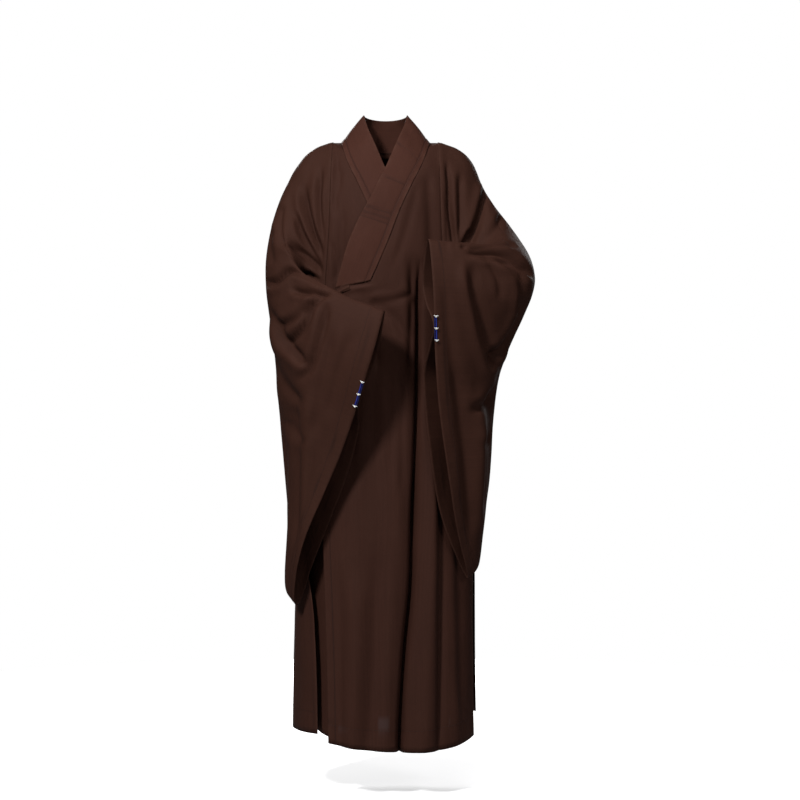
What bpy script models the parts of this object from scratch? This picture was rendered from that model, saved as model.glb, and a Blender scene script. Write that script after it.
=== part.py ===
# Wide-sleeved crossover robe in the form it takes when worn, open at neck, cuffs, vents and hem.
# Metres, +Z up, front towards -Y. The origin is between the shoulders, where the robe is carried.

import math

import bpy
import numpy as np

MM = 0.001

# Cloth and seams
CLOTH = 0.0016
BAND_CLOTH = 0.0022
SEAM_GAP = 0.0004
NECK_GAP = 0.0010
BAND_END_GAP = 0.0030

# Rows and columns of the cloth walls
ARMHOLE_ROWS = 20
SKIRT_ROWS = 12
BAND_ROWS = 14
NECK_STEPS = 14
SHOULDER_STEPS = 3
OVER_COLUMNS = 28
UNDER_COLUMNS = 12
SLEEVE_RINGS = 18
BAND_COLUMNS = 4
SEAM_ROWS = ARMHOLE_ROWS + 4
SEAM_SHARE = 0.12

# Main heights
UNDERARM = -0.455
ARMHOLE_TURN_IN = -0.300
VENT_TOP = -0.640
HEM = -1.261
HEM_SAG = 0.020
BACK_HEM = -1.250
BACK_HEM_RISE = 0.024
UNDER_HEM_RISE = 0.050
NECK_FADE = 0.12

# Body form. Turn is measured in degrees round the body: 0 left side, 90 front, 180 right side, 270 back.
ARMHOLE_TURN = 43.0
ARMHOLE_BOW = 3.5
SQUARENESS = 2.3
DOME_HEIGHT = 0.140
BODY = [
    # height, half width, front depth, back depth, shift to the left side, in mm
    (0, 150, 100, 95, 0),
    (-100, 160, 114, 104, 0),
    (-200, 164, 130, 110, 0),
    (-300, 165, 135, 112, 0),
    (-455, 165, 131, 120, 0),
    (-600, 173, 135, 132, 1),
    (-850, 190, 146, 146, 0),
    (-1100, 196, 158, 156, 0),
    (-1300, 199, 168, 164, 0),
]
BODY_CENTRE = 0.005

# Neckband: its outer edge lies along the front's neckline, its inner edge stands round the neck.
BAND = [
    # outer x, outer z, inner x, inner y, inner z, in mm, and how far the inner edge lies on the chest
    (93, 0, 46, 2, 59, 0.0),
    (88, -22, 38, -26, 30, 0.0),
    (77, -54, 24, -60, -4, 0.1),
    (62, -85, 4, -88, -53, 0.8),
    (48, -115, -14, -98, -92, 1.0),
    (30, -155, -36, -100, -136, 1.0),
    (12, -203, -58, -100, -178, 1.0),
    (-8, -252, -80, -100, -230, 1.0),
    (-31, -303, -104, -100, -318, 1.0),
]
NECK_BACK_DEPTH = 0.062
NECK_BACK_TOP = (0.049, 0.053)
UNDER_LIFT = -0.0060
UNDER_PLEAT_LIFT = -0.0110
UNDER_SKIRT_LIFT = -0.0040
LAP_LIFT = 0.0034
LAP_FROM = -0.030
LAP_TOP = -0.260
LAP_EASE = 0.050

# The armhole edge of a sleeve lies this far outside the body panels, and the rest of it stands further off
SLEEVE_LAP = 0.0022
SLEEVE_CLEAR = 0.012

# Free edge of the lap and of the front under it, below the neckband
OVER_EDGE = [
    # x, z in mm
    (-31, -303),
    (-67, -310),
    (-104, -318),
    (-116, -350),
    (-119, -430),
    (-128, -520),
    (-132, -640),
    (-128, -850),
    (-121, -1050),
    (-116, -1266),
]
UNDER_EDGE = [
    (31, -303),
    (30, -380),
    (26, -500),
    (18, -700),
    (6, -1000),
    (-8, -1262),
]

# Side edges below the vents: turn at the given height
VENT_EDGES = [
    # height in mm, over front's left edge, under front's right edge, back's right edge, back's left edge
    (-640, 0, 180, 180, 360),
    (-760, 8, 174, 176, 357),
    (-950, 18, 166, 142, 353),
    (-1100, 20, 163, 135, 351),
    (-1300, 21, 162, 132, 350),
]

# Creases as seen from straight in front or straight behind. Depth is into the cloth; a ridge has a minus.
# They fade out where the cloth turns away from that view.
CREASE_FACING = 0.38
OVER_CREASES = [
    # x1, z1, x2, z2, bow, half width, depth in mm
    (72, -270, 64, -760, 3, 12, 12),
    (65, -690, 31, -1380, -8, 16, 20),
    (98, -640, 88, -1340, 4, 17, -9),
    (116, -860, 121, -1340, -4, 14, 6),
    (9, -470, 14, -700, 0, 10, 3),
    (30, -480, 36, -760, 3, 9, 3),
    (-14, -860, -34, -1340, 6, 20, 8),
    (-58, -900, -70, -1340, -4, 20, -7),
    (-100, -880, -92, -1340, 3, 14, 5),
    (-104, -336, -20, -330, -5, 9, 2),
    (-40, -370, 40, -440, 18, 16, 3),
    (88, -60, 100, -260, -6, 14, 5),
]
UNDER_CREASES = [
    (-112, -30, -96, -150, 6, 12, 4),
    (-60, -700, -70, -1340, 5, 22, 8),
]
BACK_CREASES = [
    (0, -60, 0, -1340, 0, 9, 4),
    (-78, -90, -60, -420, 12, 18, 6),
    (82, -90, 64, -450, -14, 20, 7),
    (-48, -560, -66, -1340, -8, 22, 12),
    (-108, -620, -122, -1340, 6, 22, -10),
    (52, -520, 44, -1340, 10, 24, 13),
    (98, -600, 112, -1340, -6, 20, -9),
    (142, -700, 150, -1340, 4, 16, 8),
    (-150, -760, -158, -1340, -5, 16, 8),
]

# Sleeves, one row for each ring from the upper arm to the mouth. Out is the distance from the middle of the robe.
# Facing is the way the outer face looks: 0 straight back, 90 straight out, 180 straight forward.
# The faces stand off the middle sheet by the given amounts high, half way and low.
SLEEVE_COLUMNS = (
    "top_out top_y top_z low_out low_y low_z face_top face_low "
    "outer_high outer_mid outer_low inner_high inner_mid inner_low hang"
).split()
RIGHT_SLEEVE = [
    (165, 0, -22, 194, 10, -600, 14, 12, 66, 88, 66, 92, 92, 66, 1.0),
    (203, -14, -82, 198, 0, -720, 28, 35, 40, 58, 32, 92, 78, 48, 1.0),
    (222, -55, -160, 198, -20, -820, 55, 62, 42, 28, 16, 56, 50, 26, 1.0),
    (186, -125, -272, 198, -42, -895, 100, 82, 42, 22, 12, 26, 32, 22, 1.0),
    (95, -190, -330, 208, -92, -950, 140, 126, 36, 30, 20, 40, 30, 26, 1.0),
    (1, -226, -372, 186, -98, -983, 180, 126, 30, 24, 42, 34, 32, 32, 1.15),
]
LEFT_SLEEVE = [
    (172, 0, -25, 196, 10, -590, 14, 12, 66, 88, 66, 92, 92, 66, 1.0),
    (206, -14, -96, 202, 0, -710, 28, 40, 32, 54, 28, 92, 80, 48, 1.0),
    (244, -50, -182, 202, -20, -800, 58, 62, 82, 22, 14, 80, 58, 28, 1.0),
    (240, -118, -224, 200, -36, -865, 108, 105, 72, 14, 10, 56, 40, 18, 1.0),
    (165, -172, -228, 194, -82, -905, 142, 126, 40, 24, 16, 40, 30, 22, 1.2),
    (88, -196, -222, 172, -104, -925, 165, 130, 30, 26, 20, 34, 26, 22, 3.2),
]
GUIDE_DROPS = (0.14, 0.45, 0.80)
CROOK_END = 13
CROOK_ROUNDS = 24
CROOK_COLUMN = 32
CREASE_ROWS = 11

# Blue tacks that pinch the sleeve mouths: how far down the mouth, and how much of it they close
RIGHT_TACK_DROP = 0.278
LEFT_TACK_DROP = 0.262
PINCH_SPREAD = 0.075
PINCH_GAP = 0.0055
PINCH_START = 0.72
TACK_LENGTH = 0.052
TACK_WIDTH = 0.006
TACK_THICK = 0.0018
TACK_GAP = 0.0005
KNOT_SIZE = (0.0075, 0.0035, 0.0022)

SLEEVE_CREASES_RIGHT = [
    (-256, -290, -215, -268, -6, 9, 12),
    (-218, -268, -118, -318, 6, 9, 16),
    (-205, -205, -130, -300, 10, 11, 7),
    (-150, -195, -122, -296, -8, 8, 6),
    (-108, -20, -128, -130, 5, 10, 8),
    (-128, -130, -124, -300, 2, 9, 7),
    (-100, -330, -188, -425, 16, 12, 7),
    (-104, -345, -158, -500, 22, 13, 8),
    (-228, -385, -172, -478, -12, 15, 6),
    (-240, -360, -212, -700, 14, 20, -8),
    (-188, -500, -176, -860, 10, 22, 8),
    (-140, -520, -168, -860, -6, 20, -6),
]
SLEEVE_CREASES_LEFT = [
    (190, -245, 318, -275, 14, 10, 12),
    (176, -250, 205, -120, 6, 11, 8),
    (108, -18, 128, -130, -5, 10, 8),
    (130, -120, 138, -240, 0, 9, 8),
    (152, -30, 148, -220, 6, 11, 6),
    (196, -262, 204, -300, -6, 8, 6),
    (240, -240, 244, -330, -10, 11, 9),
    (160, -270, 215, -500, 10, 15, -7),
    (180, -290, 232, -520, 16, 12, 7),
    (262, -400, 228, -470, 4, 12, 7),
    (150, -480, 182, -860, -6, 20, 7),
    (196, -560, 196, -860, 0, 16, -5),
]
SLEEVE_CREASES_BACK = [
    (-150, -60, -196, -330, -12, 16, 8),
    (-128, -80, -150, -420, -8, 13, 7),
    (-206, -380, -196, -700, 8, 16, -7),
    (150, -60, 205, -300, 12, 16, 8),
    (128, -80, 150, -420, 8, 13, 7),
    (214, -380, 200, -700, -8, 16, -7),
]

# Waist tie at the lap's corner
TIE_ROUTE = [
    # x, z, lift in mm
    (-74, -317, 1.0),
    (-84, -321, 1.5),
    (-93, -327, 2.2),
    (-97, -335, 2.0),
    (-92, -343, 1.0),
]
TIE_WIDTH = 0.009

CLOTH_COLOUR = (0.0515, 0.0222, 0.0156, 1.0)
BAND_COLOUR = (0.0610, 0.0250, 0.0180, 1.0)
TACK_COLOUR = (0.0200, 0.0330, 0.2400, 1.0)
KNOT_COLOUR = (0.7800, 0.7800, 0.7600, 1.0)


def clear_scene():
    for item in list(bpy.data.objects):
        bpy.data.objects.remove(item, do_unlink=True)


def smooth_step(value):
    held = np.clip(value, 0.0, 1.0)
    return held * held * (3.0 - 2.0 * held)


# A smooth curve through the values at rising knots.
def curve_at(knots, values, at):
    knots = np.asarray(knots, float)
    values = np.asarray(values, float)
    at = np.clip(np.asarray(at, float), knots[0], knots[-1])
    slopes = np.gradient(values, knots, axis=0)
    index = np.clip(np.searchsorted(knots, at) - 1, 0, len(knots) - 2)
    step = knots[index + 1] - knots[index]
    t = (at - knots[index]) / step
    if values.ndim > 1:
        t = t[..., None]
        step = step[..., None]
    low = values[index]
    high = values[index + 1]
    return (
        low * (2 * t**3 - 3 * t**2 + 1)
        + slopes[index] * step * (t**3 - 2 * t**2 + t)
        + high * (3 * t**2 - 2 * t**3)
        + slopes[index + 1] * step * (t**3 - t**2)
    )


# Points evenly spaced along a smooth line through the rows of a table.
def walk(rows, count):
    rows = np.asarray(rows, float)
    lengths = np.linalg.norm(np.diff(rows[:, :2], axis=0), axis=1)
    knots = np.concatenate([[0.0], np.cumsum(lengths)])
    return curve_at(knots, rows, knots[-1] * np.linspace(0.0, 1.0, count))


def body_sizes(height):
    table = np.asarray(BODY, float) * MM
    knots = table[::-1, 0]
    return [curve_at(knots, table[::-1, column], height) for column in (1, 2, 3, 4)]


def body_point(turn, height):
    turn = np.asarray(turn, float)
    height = np.asarray(height, float)
    half_width, front, back, shift = body_sizes(height)
    reach = np.clip(-height / DOME_HEIGHT, 0.0, 1.0)
    dome = np.sqrt(np.maximum(1.0 - (1.0 - reach) ** 2, 0.0))
    angle = np.radians(turn)
    across = np.sign(np.cos(angle)) * np.abs(np.cos(angle)) ** (2.0 / SQUARENESS)
    out = np.abs(np.sin(angle)) ** (2.0 / SQUARENESS)
    forward = np.sin(angle) > 0.0
    x = shift + half_width * across
    y = BODY_CENTRE + np.where(forward, -front, back) * dome * out
    return np.stack([x, y, height + 0.0 * x], axis=-1)


# The turn of a place on the front of the body that is seen at x.
def front_turn(x, height):
    half_width, _, _, shift = body_sizes(height)
    share = np.clip((np.asarray(x, float) - shift) / half_width, -1.0, 1.0)
    return np.degrees(np.arccos(np.sign(share) * np.abs(share) ** (SQUARENESS / 2.0)))


def body_normal(turn, height):
    small_turn = 0.5
    small_drop = 0.0015
    height = np.minimum(height, -small_drop)
    along = body_point(turn + small_turn, height) - body_point(turn - small_turn, height)
    down = body_point(turn, height - small_drop) - body_point(turn, height + small_drop)
    normal = np.cross(along, down)
    return normal / np.linalg.norm(normal, axis=-1, keepdims=True)


def armhole_heights():
    steps = np.arange(ARMHOLE_ROWS + 1) / ARMHOLE_ROWS
    return UNDERARM * (1.0 - np.cos(np.pi * steps)) / 2.0


def armhole_turn(height):
    reach = np.clip((ARMHOLE_TURN_IN - height) / (ARMHOLE_TURN_IN - UNDERARM), 0.0, 1.0)
    bow = ARMHOLE_BOW * np.sin(np.pi * np.clip(height / ARMHOLE_TURN_IN, 0.0, 1.0))
    return ARMHOLE_TURN * np.sqrt(1.0 - reach**2) + bow


def row_heights():
    skirt = np.linspace(UNDERARM, HEM, SKIRT_ROWS + 1)
    return np.concatenate([armhole_heights(), skirt[1:]])


# How deep the creases of a table are at points seen from the front or from behind.
def crease_depth(table, x, z):
    depth = np.zeros_like(x)
    for row in table:
        x1, z1, x2, z2, bow, half_width, deep = (value * MM for value in row)
        length = math.hypot(x2 - x1, z2 - z1)
        along = ((x - x1) * (x2 - x1) + (z - z1) * (z2 - z1)) / length**2
        aside = ((x - x1) * (z2 - z1) - (z - z1) * (x2 - x1)) / length
        held = np.clip(along, 0.0, 1.0)
        aside = aside - bow * 4.0 * held * (1.0 - held)
        ends = smooth_step((along + 0.06) / 0.30) * smooth_step((1.06 - along) / 0.30)
        depth += deep * ends * np.exp(-((aside / half_width) ** 2))
    return depth


def grid_normals(grid, closed):
    if closed:
        across = np.roll(grid, -1, axis=1) - np.roll(grid, 1, axis=1)
    else:
        across = np.gradient(grid, axis=1)
    down = np.gradient(grid, axis=0)
    normal = np.cross(across, down)
    length = np.linalg.norm(normal, axis=-1, keepdims=True)
    return normal / np.maximum(length, 1e-12)


def new_object(name, verts, faces, material):
    mesh = bpy.data.meshes.new(name)
    mesh.from_pydata([tuple(v) for v in verts], [], faces)
    mesh.update()
    mesh.shade_smooth()
    mesh.set_sharp_from_angle(angle=math.radians(50))
    mesh.materials.append(material)
    piece = bpy.data.objects.new(name, mesh)
    bpy.context.scene.collection.objects.link(piece)
    return piece


# A cloth wall of even thickness through a grid of points. Its outer face looks along the normals.
def wall(name, grid, normals, thickness, material, closed=False):
    rows, columns = grid.shape[:2]
    outer = grid + normals * thickness / 2.0
    inner = grid - normals * thickness / 2.0
    facing = np.sum(np.cross(grid[1:, 1] - grid[:-1, 1], grid[:-1, 2] - grid[:-1, 1]) * normals[:-1, 1])
    if facing < 0:
        outer, inner = inner, outer
    verts = np.concatenate([outer.reshape(-1, 3), inner.reshape(-1, 3)])
    back = rows * columns
    faces = []
    spans = columns if closed else columns - 1
    for r in range(rows - 1):
        for c in range(spans):
            n = (c + 1) % columns
            a, b = r * columns + c, r * columns + n
            d, e = (r + 1) * columns + c, (r + 1) * columns + n
            faces.append((a, d, e, b))
            faces.append((back + a, back + b, back + e, back + d))
    for c in range(spans):
        n = (c + 1) % columns
        last = (rows - 1) * columns
        faces.append((c, n, back + n, back + c))
        faces.append((last + c, back + last + c, back + last + n, last + n))
    if not closed:
        for r in range(rows - 1):
            a, d = r * columns, (r + 1) * columns
            b, e = a + columns - 1, d + columns - 1
            faces.append((a, back + a, back + d, d))
            faces.append((b, e, back + e, back + b))
    return new_object(name, verts, faces, material)


# Draws the first or last row or column of a grid back from its neighbour, to leave the seam's gap.
def ease_edge(grid, side, gap):
    pairs = {
        "first_column": (np.s_[:, 0], np.s_[:, 1]),
        "last_column": (np.s_[:, -1], np.s_[:, -2]),
        "first_row": (np.s_[0, :], np.s_[1, :]),
        "last_row": (np.s_[-1, :], np.s_[-2, :]),
    }
    edge, near = pairs[side]
    inward = grid[near] - grid[edge]
    length = np.maximum(np.linalg.norm(inward, axis=-1, keepdims=True), 1e-9)
    grid[edge] = grid[edge] + inward / length * np.minimum(gap, 0.6 * length)


def principled(name, colour, roughness):
    material = bpy.data.materials.new(name)
    material.use_nodes = True
    shader = material.node_tree.nodes["Principled BSDF"]
    shader.inputs["Base Color"].default_value = colour
    shader.inputs["Roughness"].default_value = roughness
    shader.inputs["Metallic"].default_value = 0.0
    return material


# Rows of the neckband's front part: outer edge, inner edge and lie, for the left side of the neck.
def band_rows():
    return walk(np.asarray(BAND, float) * [MM, MM, MM, MM, MM, 1.0], BAND_ROWS + 1)


def under_lift(row):
    chest = UNDER_LIFT * smooth_step(row / 5.0)
    pleat = UNDER_PLEAT_LIFT * smooth_step((row - 8.0) / 5.0)
    skirt = UNDER_SKIRT_LIFT * smooth_step((row - BAND_ROWS) / 6.0)
    return chest + pleat + skirt


# Turn, height and lift of every point of a front panel, from its side edge to its free edge.
def front_grid(side, edge_table, columns):
    heights = row_heights()
    rows = len(heights)
    free = walk(np.asarray(edge_table, float) * MM, rows - BAND_ROWS)
    band = band_rows()
    over = side > 0
    free_x = np.concatenate([side * band[:, 0], free[1:, 0]])
    free_z = np.concatenate([band[:, 1], free[1:, 1]])
    vents = np.asarray(VENT_EDGES, float)
    vent = curve_at(vents[::-1, 0] * MM, vents[::-1, 1 if over else 2], heights)
    armhole = armhole_turn(heights) if over else 180.0 - armhole_turn(heights)
    side_turn = np.where(heights > VENT_TOP, armhole, vent)
    if not over:
        side_turn = np.where((heights <= UNDERARM) & (heights > VENT_TOP), 180.0, side_turn)
    share = np.linspace(0.0, 1.0, columns + 1)[None, :]
    free_turn = front_turn(free_x, free_z)
    turn = side_turn[:, None] * (1.0 - share) + free_turn[:, None] * share
    height = heights[:, None] * (1.0 - share) + free_z[:, None] * share
    skirt = np.clip((UNDERARM - heights) / (UNDERARM - HEM), 0.0, 1.0)
    height = height - HEM_SAG * np.sin(np.pi * share) * skirt[:, None] ** 3
    if not over:
        height = height + UNDER_HEM_RISE * (1.0 - share) * skirt[:, None] ** 3
    row = np.arange(rows)[:, None] + 0.0 * share
    if over:
        x = body_point(turn, height)[..., 0]
        lift = LAP_LIFT * smooth_step((LAP_FROM - x) / LAP_EASE) * smooth_step((LAP_TOP - height) / LAP_EASE)
    else:
        side_held = smooth_step((row - ARMHOLE_ROWS - 3.0) / 3.0)
        lift = under_lift(row) * np.maximum(smooth_step(share / 0.35), side_held)
    return turn, height, lift


def panel_points(turn, height, lift):
    return body_point(turn, height) + body_normal(turn, height) * lift[..., None]


def crease_grid(grid, normals, table, forward, keep):
    facing = -normals[..., 1] if forward else normals[..., 1]
    depth = crease_depth(table, grid[..., 0], grid[..., 2])
    return grid - normals * (depth * smooth_step(facing / CREASE_FACING) * keep)[..., None]


# Weight that keeps the creases off the seam edges of a panel.
def edge_keep(rows, columns, free_rows):
    row = np.arange(rows)[:, None]
    column = np.arange(columns)[None, :] / (columns - 1.0)
    keep = smooth_step(row / 3.0) + 0.0 * column
    keep = np.where(row <= ARMHOLE_ROWS + 2, keep * smooth_step(column / SEAM_SHARE), keep)
    return np.where(row <= free_rows, keep * smooth_step((1.0 - column) / SEAM_SHARE), keep)


def make_front(name, side, edge_table, columns, creases, material):
    turn, height, lift = front_grid(side, edge_table, columns)
    grid = panel_points(turn, height, lift)
    normals = body_normal(turn, height)
    keep = edge_keep(*turn.shape, BAND_ROWS)
    grid = crease_grid(grid, normals, creases, True, keep)
    normals = blended_normals(grid, normals, side > 0)
    rows = np.arange(turn.shape[0])
    seam_rows = rows <= SEAM_ROWS
    ease_edge(grid, "first_column", SEAM_GAP * seam_rows[:, None])
    ease_edge(grid, "last_column", (band_gap(rows) * (rows <= BAND_ROWS))[:, None])
    grid[0, :, 1] -= SEAM_GAP
    return wall(name, grid, normals, CLOTH, material)


# The seam between neckband and front opens a little where the band stands up from the shoulder.
def band_gap(row):
    return SEAM_GAP + NECK_GAP * smooth_step((6.0 - row) / 4.0)


# Normals of the creased grid, but those of the plain body along seam edges, so that neighbours stand parallel.
def blended_normals(grid, plain, flip):
    normals = grid_normals(grid, False)
    turned = np.sum(normals * plain, axis=-1, keepdims=True) < 0
    normals = np.where(turned, -normals, normals)
    normals[0] = plain[0]
    normals[: SEAM_ROWS + 1, 0] = plain[: SEAM_ROWS + 1, 0]
    normals[: BAND_ROWS + 1, -1] = plain[: BAND_ROWS + 1, -1]
    return normals


def neck_turns():
    # Places of the back neckline from the left shoulder to the right one.
    angles = np.linspace(0.0, math.pi, NECK_STEPS + 1)
    return np.cos(angles), np.sin(angles)


def neck_line():
    across, back = neck_turns()
    half = BAND[0][0] * MM
    x = half * across
    y = BODY_CENTRE + (NECK_BACK_DEPTH - BODY_CENTRE) * back
    half_width, _, depth, _ = body_sizes(np.zeros_like(x))
    share = (1.0 - np.abs(x / half_width) ** SQUARENESS) ** (1.0 / SQUARENESS)
    dome = np.clip((y - BODY_CENTRE) / (depth * share), 0.0, 0.999)
    reach = 1.0 - np.sqrt(1.0 - dome**2)
    z = -DOME_HEIGHT * reach
    return np.stack([x, y, z], axis=-1)


def back_grid():
    heights = row_heights()
    rows = len(heights)
    skirt = np.clip((UNDERARM - heights) / (UNDERARM - HEM), 0.0, 1.0)
    neck = neck_line()
    shoulder_x = np.linspace(body_point(ARMHOLE_TURN, 0.0)[0], BAND[0][0] * MM, SHOULDER_STEPS + 1)
    half_width = body_sizes(np.zeros(1))[0][0]

    def back_turn(x):
        share = np.clip(x / half_width, -1.0, 1.0)
        return 360.0 - np.degrees(np.arccos(np.sign(share) * np.abs(share) ** (SQUARENESS / 2.0)))

    top_x = np.concatenate([shoulder_x[:-1], neck[:, 0], -shoulder_x[:-1][::-1]])
    top_z = np.concatenate([0 * shoulder_x[:-1], neck[:, 2], 0 * shoulder_x[:-1]])
    top_turn = back_turn(top_x)
    vents = np.asarray(VENT_EDGES, float)
    knots = vents[::-1, 0] * MM
    left = np.where(heights > VENT_TOP, 360.0 - armhole_turn(heights), curve_at(knots, vents[::-1, 4], heights))
    right = np.where(heights > VENT_TOP, 180.0 + armhole_turn(heights), curve_at(knots, vents[::-1, 3], heights))
    columns = len(top_x)
    share = np.linspace(0.0, 1.0, columns)[None, :]
    even = left[:, None] * (1.0 - share) + right[:, None] * share
    blend = smooth_step(np.arange(rows) / 8.0)[:, None]
    turn = top_turn[None, :] * (1.0 - blend) + even * blend
    fade = np.clip(1.0 + heights / NECK_FADE, 0.0, 1.0)[:, None]
    hem_rise = BACK_HEM - HEM + BACK_HEM_RISE * (1.0 - share) ** 2
    height = heights[:, None] + top_z[None, :] * fade + hem_rise * skirt[:, None] ** 2
    return turn, height


def make_back(material):
    turn, height = back_grid()
    grid = body_point(turn, height)
    normals = body_normal(turn, height)
    rows, columns = turn.shape
    keep = edge_keep(rows, columns, SEAM_ROWS)
    grid = crease_grid(grid, normals, BACK_CREASES, False, keep)
    plain = normals
    normals = grid_normals(grid, False)
    turned = np.sum(normals * plain, axis=-1, keepdims=True) < 0
    normals = np.where(turned, -normals, normals)
    normals[0] = plain[0]
    for edge in (0, -1):
        normals[: SEAM_ROWS + 1, edge] = plain[: SEAM_ROWS + 1, edge]
    seam_rows = np.arange(rows) <= SEAM_ROWS
    ease_edge(grid, "first_column", SEAM_GAP * seam_rows[:, None])
    ease_edge(grid, "last_column", SEAM_GAP * seam_rows[:, None])
    column = np.arange(columns)
    at_neck = (column > SHOULDER_STEPS - 1) & (column < columns - SHOULDER_STEPS)
    ease_edge(grid, "first_row", np.where(at_neck, band_gap(0.0), SEAM_GAP)[:, None])
    return wall("back", grid, normals, CLOTH, material)


# The ring of points round an armhole, from the shoulder down the back and up the front.
def armhole_ring(side):
    heights = armhole_heights()
    swing = armhole_turn(heights)
    if side > 0:
        back_turn, front_turn_at = 360.0 - swing, swing
    else:
        back_turn, front_turn_at = 180.0 + swing, 180.0 - swing
    back = body_point(back_turn, heights)
    front = body_point(front_turn_at, heights)
    back_normal = body_normal(back_turn, heights)
    front_normal = body_normal(front_turn_at, heights)
    ring = np.concatenate([back, front[-2:0:-1]])
    normal = np.concatenate([back_normal, front_normal[-2:0:-1]])
    return ring, normal


# A closed smooth loop through eight guide points.
def closed_loop(guides, count):
    n = len(guides)
    at = np.arange(count) * n / count
    index = at.astype(int)
    t = (at - index)[:, None]
    p0, p1 = guides[(index - 1) % n], guides[index % n]
    p2, p3 = guides[(index + 1) % n], guides[(index + 2) % n]
    return 0.5 * (
        2 * p1 + (p2 - p0) * t + (2 * p0 - 5 * p1 + 4 * p2 - p3) * t**2 + (3 * p1 - p0 - 3 * p2 + p3) * t**3
    )


def sleeve_guides(row, side):
    cell = dict(zip(SLEEVE_COLUMNS, row))
    top = np.array([side * cell["top_out"], cell["top_y"], cell["top_z"]]) * MM
    low = np.array([side * cell["low_out"], cell["low_y"], cell["low_z"]]) * MM
    outer, inner = [], []
    for drop, level in zip(GUIDE_DROPS, ("high", "mid", "low")):
        share = np.array([drop ** cell["hang"], drop ** cell["hang"], drop])
        middle = top + (low - top) * share
        facing = math.radians(cell["face_top"] + (cell["face_low"] - cell["face_top"]) * drop)
        out = np.array([side * math.sin(facing), math.cos(facing), 0.0])
        outer.append(middle + out * cell["outer_" + level] * MM)
        inner.append(middle - out * cell["inner_" + level] * MM)
    return np.array([top, *outer, low, *reversed(inner)])


# Moves points of a sleeve outwards where they would reach the body, by the clearance given for each ring.
def stand_clear(grid, clear):
    half_width, front, back, shift = body_sizes(np.minimum(grid[..., 2], 0.0))
    x = grid[..., 0] - shift
    y = grid[..., 1] - BODY_CENTRE
    depth = np.where(y < 0, front, back)
    level = (np.abs(x / half_width) ** SQUARENESS + np.abs(y / depth) ** SQUARENESS) ** (1.0 / SQUARENESS)
    least = 1.0 + clear / half_width
    soft = 0.02
    held = 0.5 * (level + least + np.sqrt((level - least) ** 2 + soft**2))
    below = smooth_step((-0.16 - grid[..., 2]) / 0.10)
    scale = 1.0 + (held / np.maximum(level, 0.2) - 1.0) * below * np.minimum(clear / SLEEVE_CLEAR, 1.0)
    grid[..., 0] = shift + x * scale
    grid[..., 1] = BODY_CENTRE + y * scale


def sleeve_middle(side, table, tack_drop):
    count = 2 * ARMHOLE_ROWS
    first, first_normal = armhole_ring(side)
    first = first + first_normal * SLEEVE_LAP
    rings = [first] + [closed_loop(sleeve_guides(row, side), count) for row in table]
    rings = np.array(rings)
    lengths = np.linalg.norm(np.diff(rings, axis=0), axis=-1).mean(axis=1)
    knots = np.concatenate([[0.0], np.cumsum(lengths)])
    at = knots[-1] * np.linspace(0.0, 1.0, SLEEVE_RINGS + 1)
    grid = curve_at(knots, rings.reshape(len(rings), -1), at).reshape(len(at), count, 3)
    relax_crook(grid)
    pinch_mouth(grid, tack_drop)
    stand_clear(grid, SLEEVE_CLEAR * smooth_step(np.arange(len(grid))[:, None] / 4.0))
    return grid


# Evens out the face that is turned to the body, where the crook of the elbow crowds its rings.
def relax_crook(grid):
    rows = np.arange(len(grid))[:, None]
    column = np.arange(grid.shape[1])[None, :] / grid.shape[1]
    inner = smooth_step((column - 0.46) / 0.06) * smooth_step((0.98 - column) / 0.06)
    weight = 0.5 * inner * smooth_step(rows / 2.0) * smooth_step((CROOK_END - rows) / 4.0)
    weight[0] = 0.0
    for _ in range(CROOK_ROUNDS):
        along = (np.roll(grid, 1, axis=0) + np.roll(grid, -1, axis=0)) / 2.0
        around = (np.roll(grid, 1, axis=1) + np.roll(grid, -1, axis=1)) / 2.0
        grid += ((along + around) / 2.0 - grid) * weight[..., None]


# Brings the inner face of the mouth to the outer one at the tack.
def pinch_mouth(grid, tack_drop):
    count = grid.shape[1]
    half = count // 2
    for r in range(len(grid)):
        reach = smooth_step((r / (len(grid) - 1.0) - PINCH_START) / (1.0 - PINCH_START))
        for k in range(1, half):
            outer = grid[r, k].copy()
            inner = grid[r, count - k].copy()
            drop = (grid[r, 0, 2] - outer[2]) / (grid[r, 0, 2] - grid[r, half, 2])
            pull = reach * math.exp(-(((drop - tack_drop) / PINCH_SPREAD) ** 2))
            apart = inner - outer
            length = np.linalg.norm(apart)
            keep = PINCH_GAP / max(length, PINCH_GAP)
            grid[r, count - k] = outer + apart * (1.0 - pull * (1.0 - keep))


def make_sleeve(name, side, table, tack_drop, front_creases, material):
    grid = sleeve_middle(side, table, tack_drop)
    normals = grid_normals(grid, True)
    if side > 0:
        normals = -normals
    rows = np.arange(len(grid))[:, None]
    keep = smooth_step(rows / 3.0) * smooth_step((len(grid) - 0.5 - rows) / 3.0)
    outer_front = crease_depth(front_creases, grid[..., 0], grid[..., 2]) * smooth_step(-normals[..., 1] / CREASE_FACING)
    outer_back = crease_depth(SLEEVE_CREASES_BACK, grid[..., 0], grid[..., 2]) * smooth_step(normals[..., 1] / CREASE_FACING)
    column = np.arange(grid.shape[1])[None, :]
    shown = smooth_step((CREASE_ROWS - rows) / 3.0) * smooth_step((column - CROOK_COLUMN) / 4.0)
    inner_face = column > grid.shape[1] // 2
    from_top = np.minimum(column, grid.shape[1] - column)
    from_low = np.abs(column - grid.shape[1] // 2)
    keep = keep * np.where(rows > CREASE_ROWS, smooth_step(from_top / 3.0), 1.0) * smooth_step(from_low / 4.0)
    depth = (outer_front + outer_back) * keep * np.where(inner_face, shown, 1.0)
    grid = grid - normals * depth[..., None]
    normals = grid_normals(grid, True)
    if side > 0:
        normals = -normals
    wall(name, grid, normals, CLOTH, material, closed=True)
    return grid, normals


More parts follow.
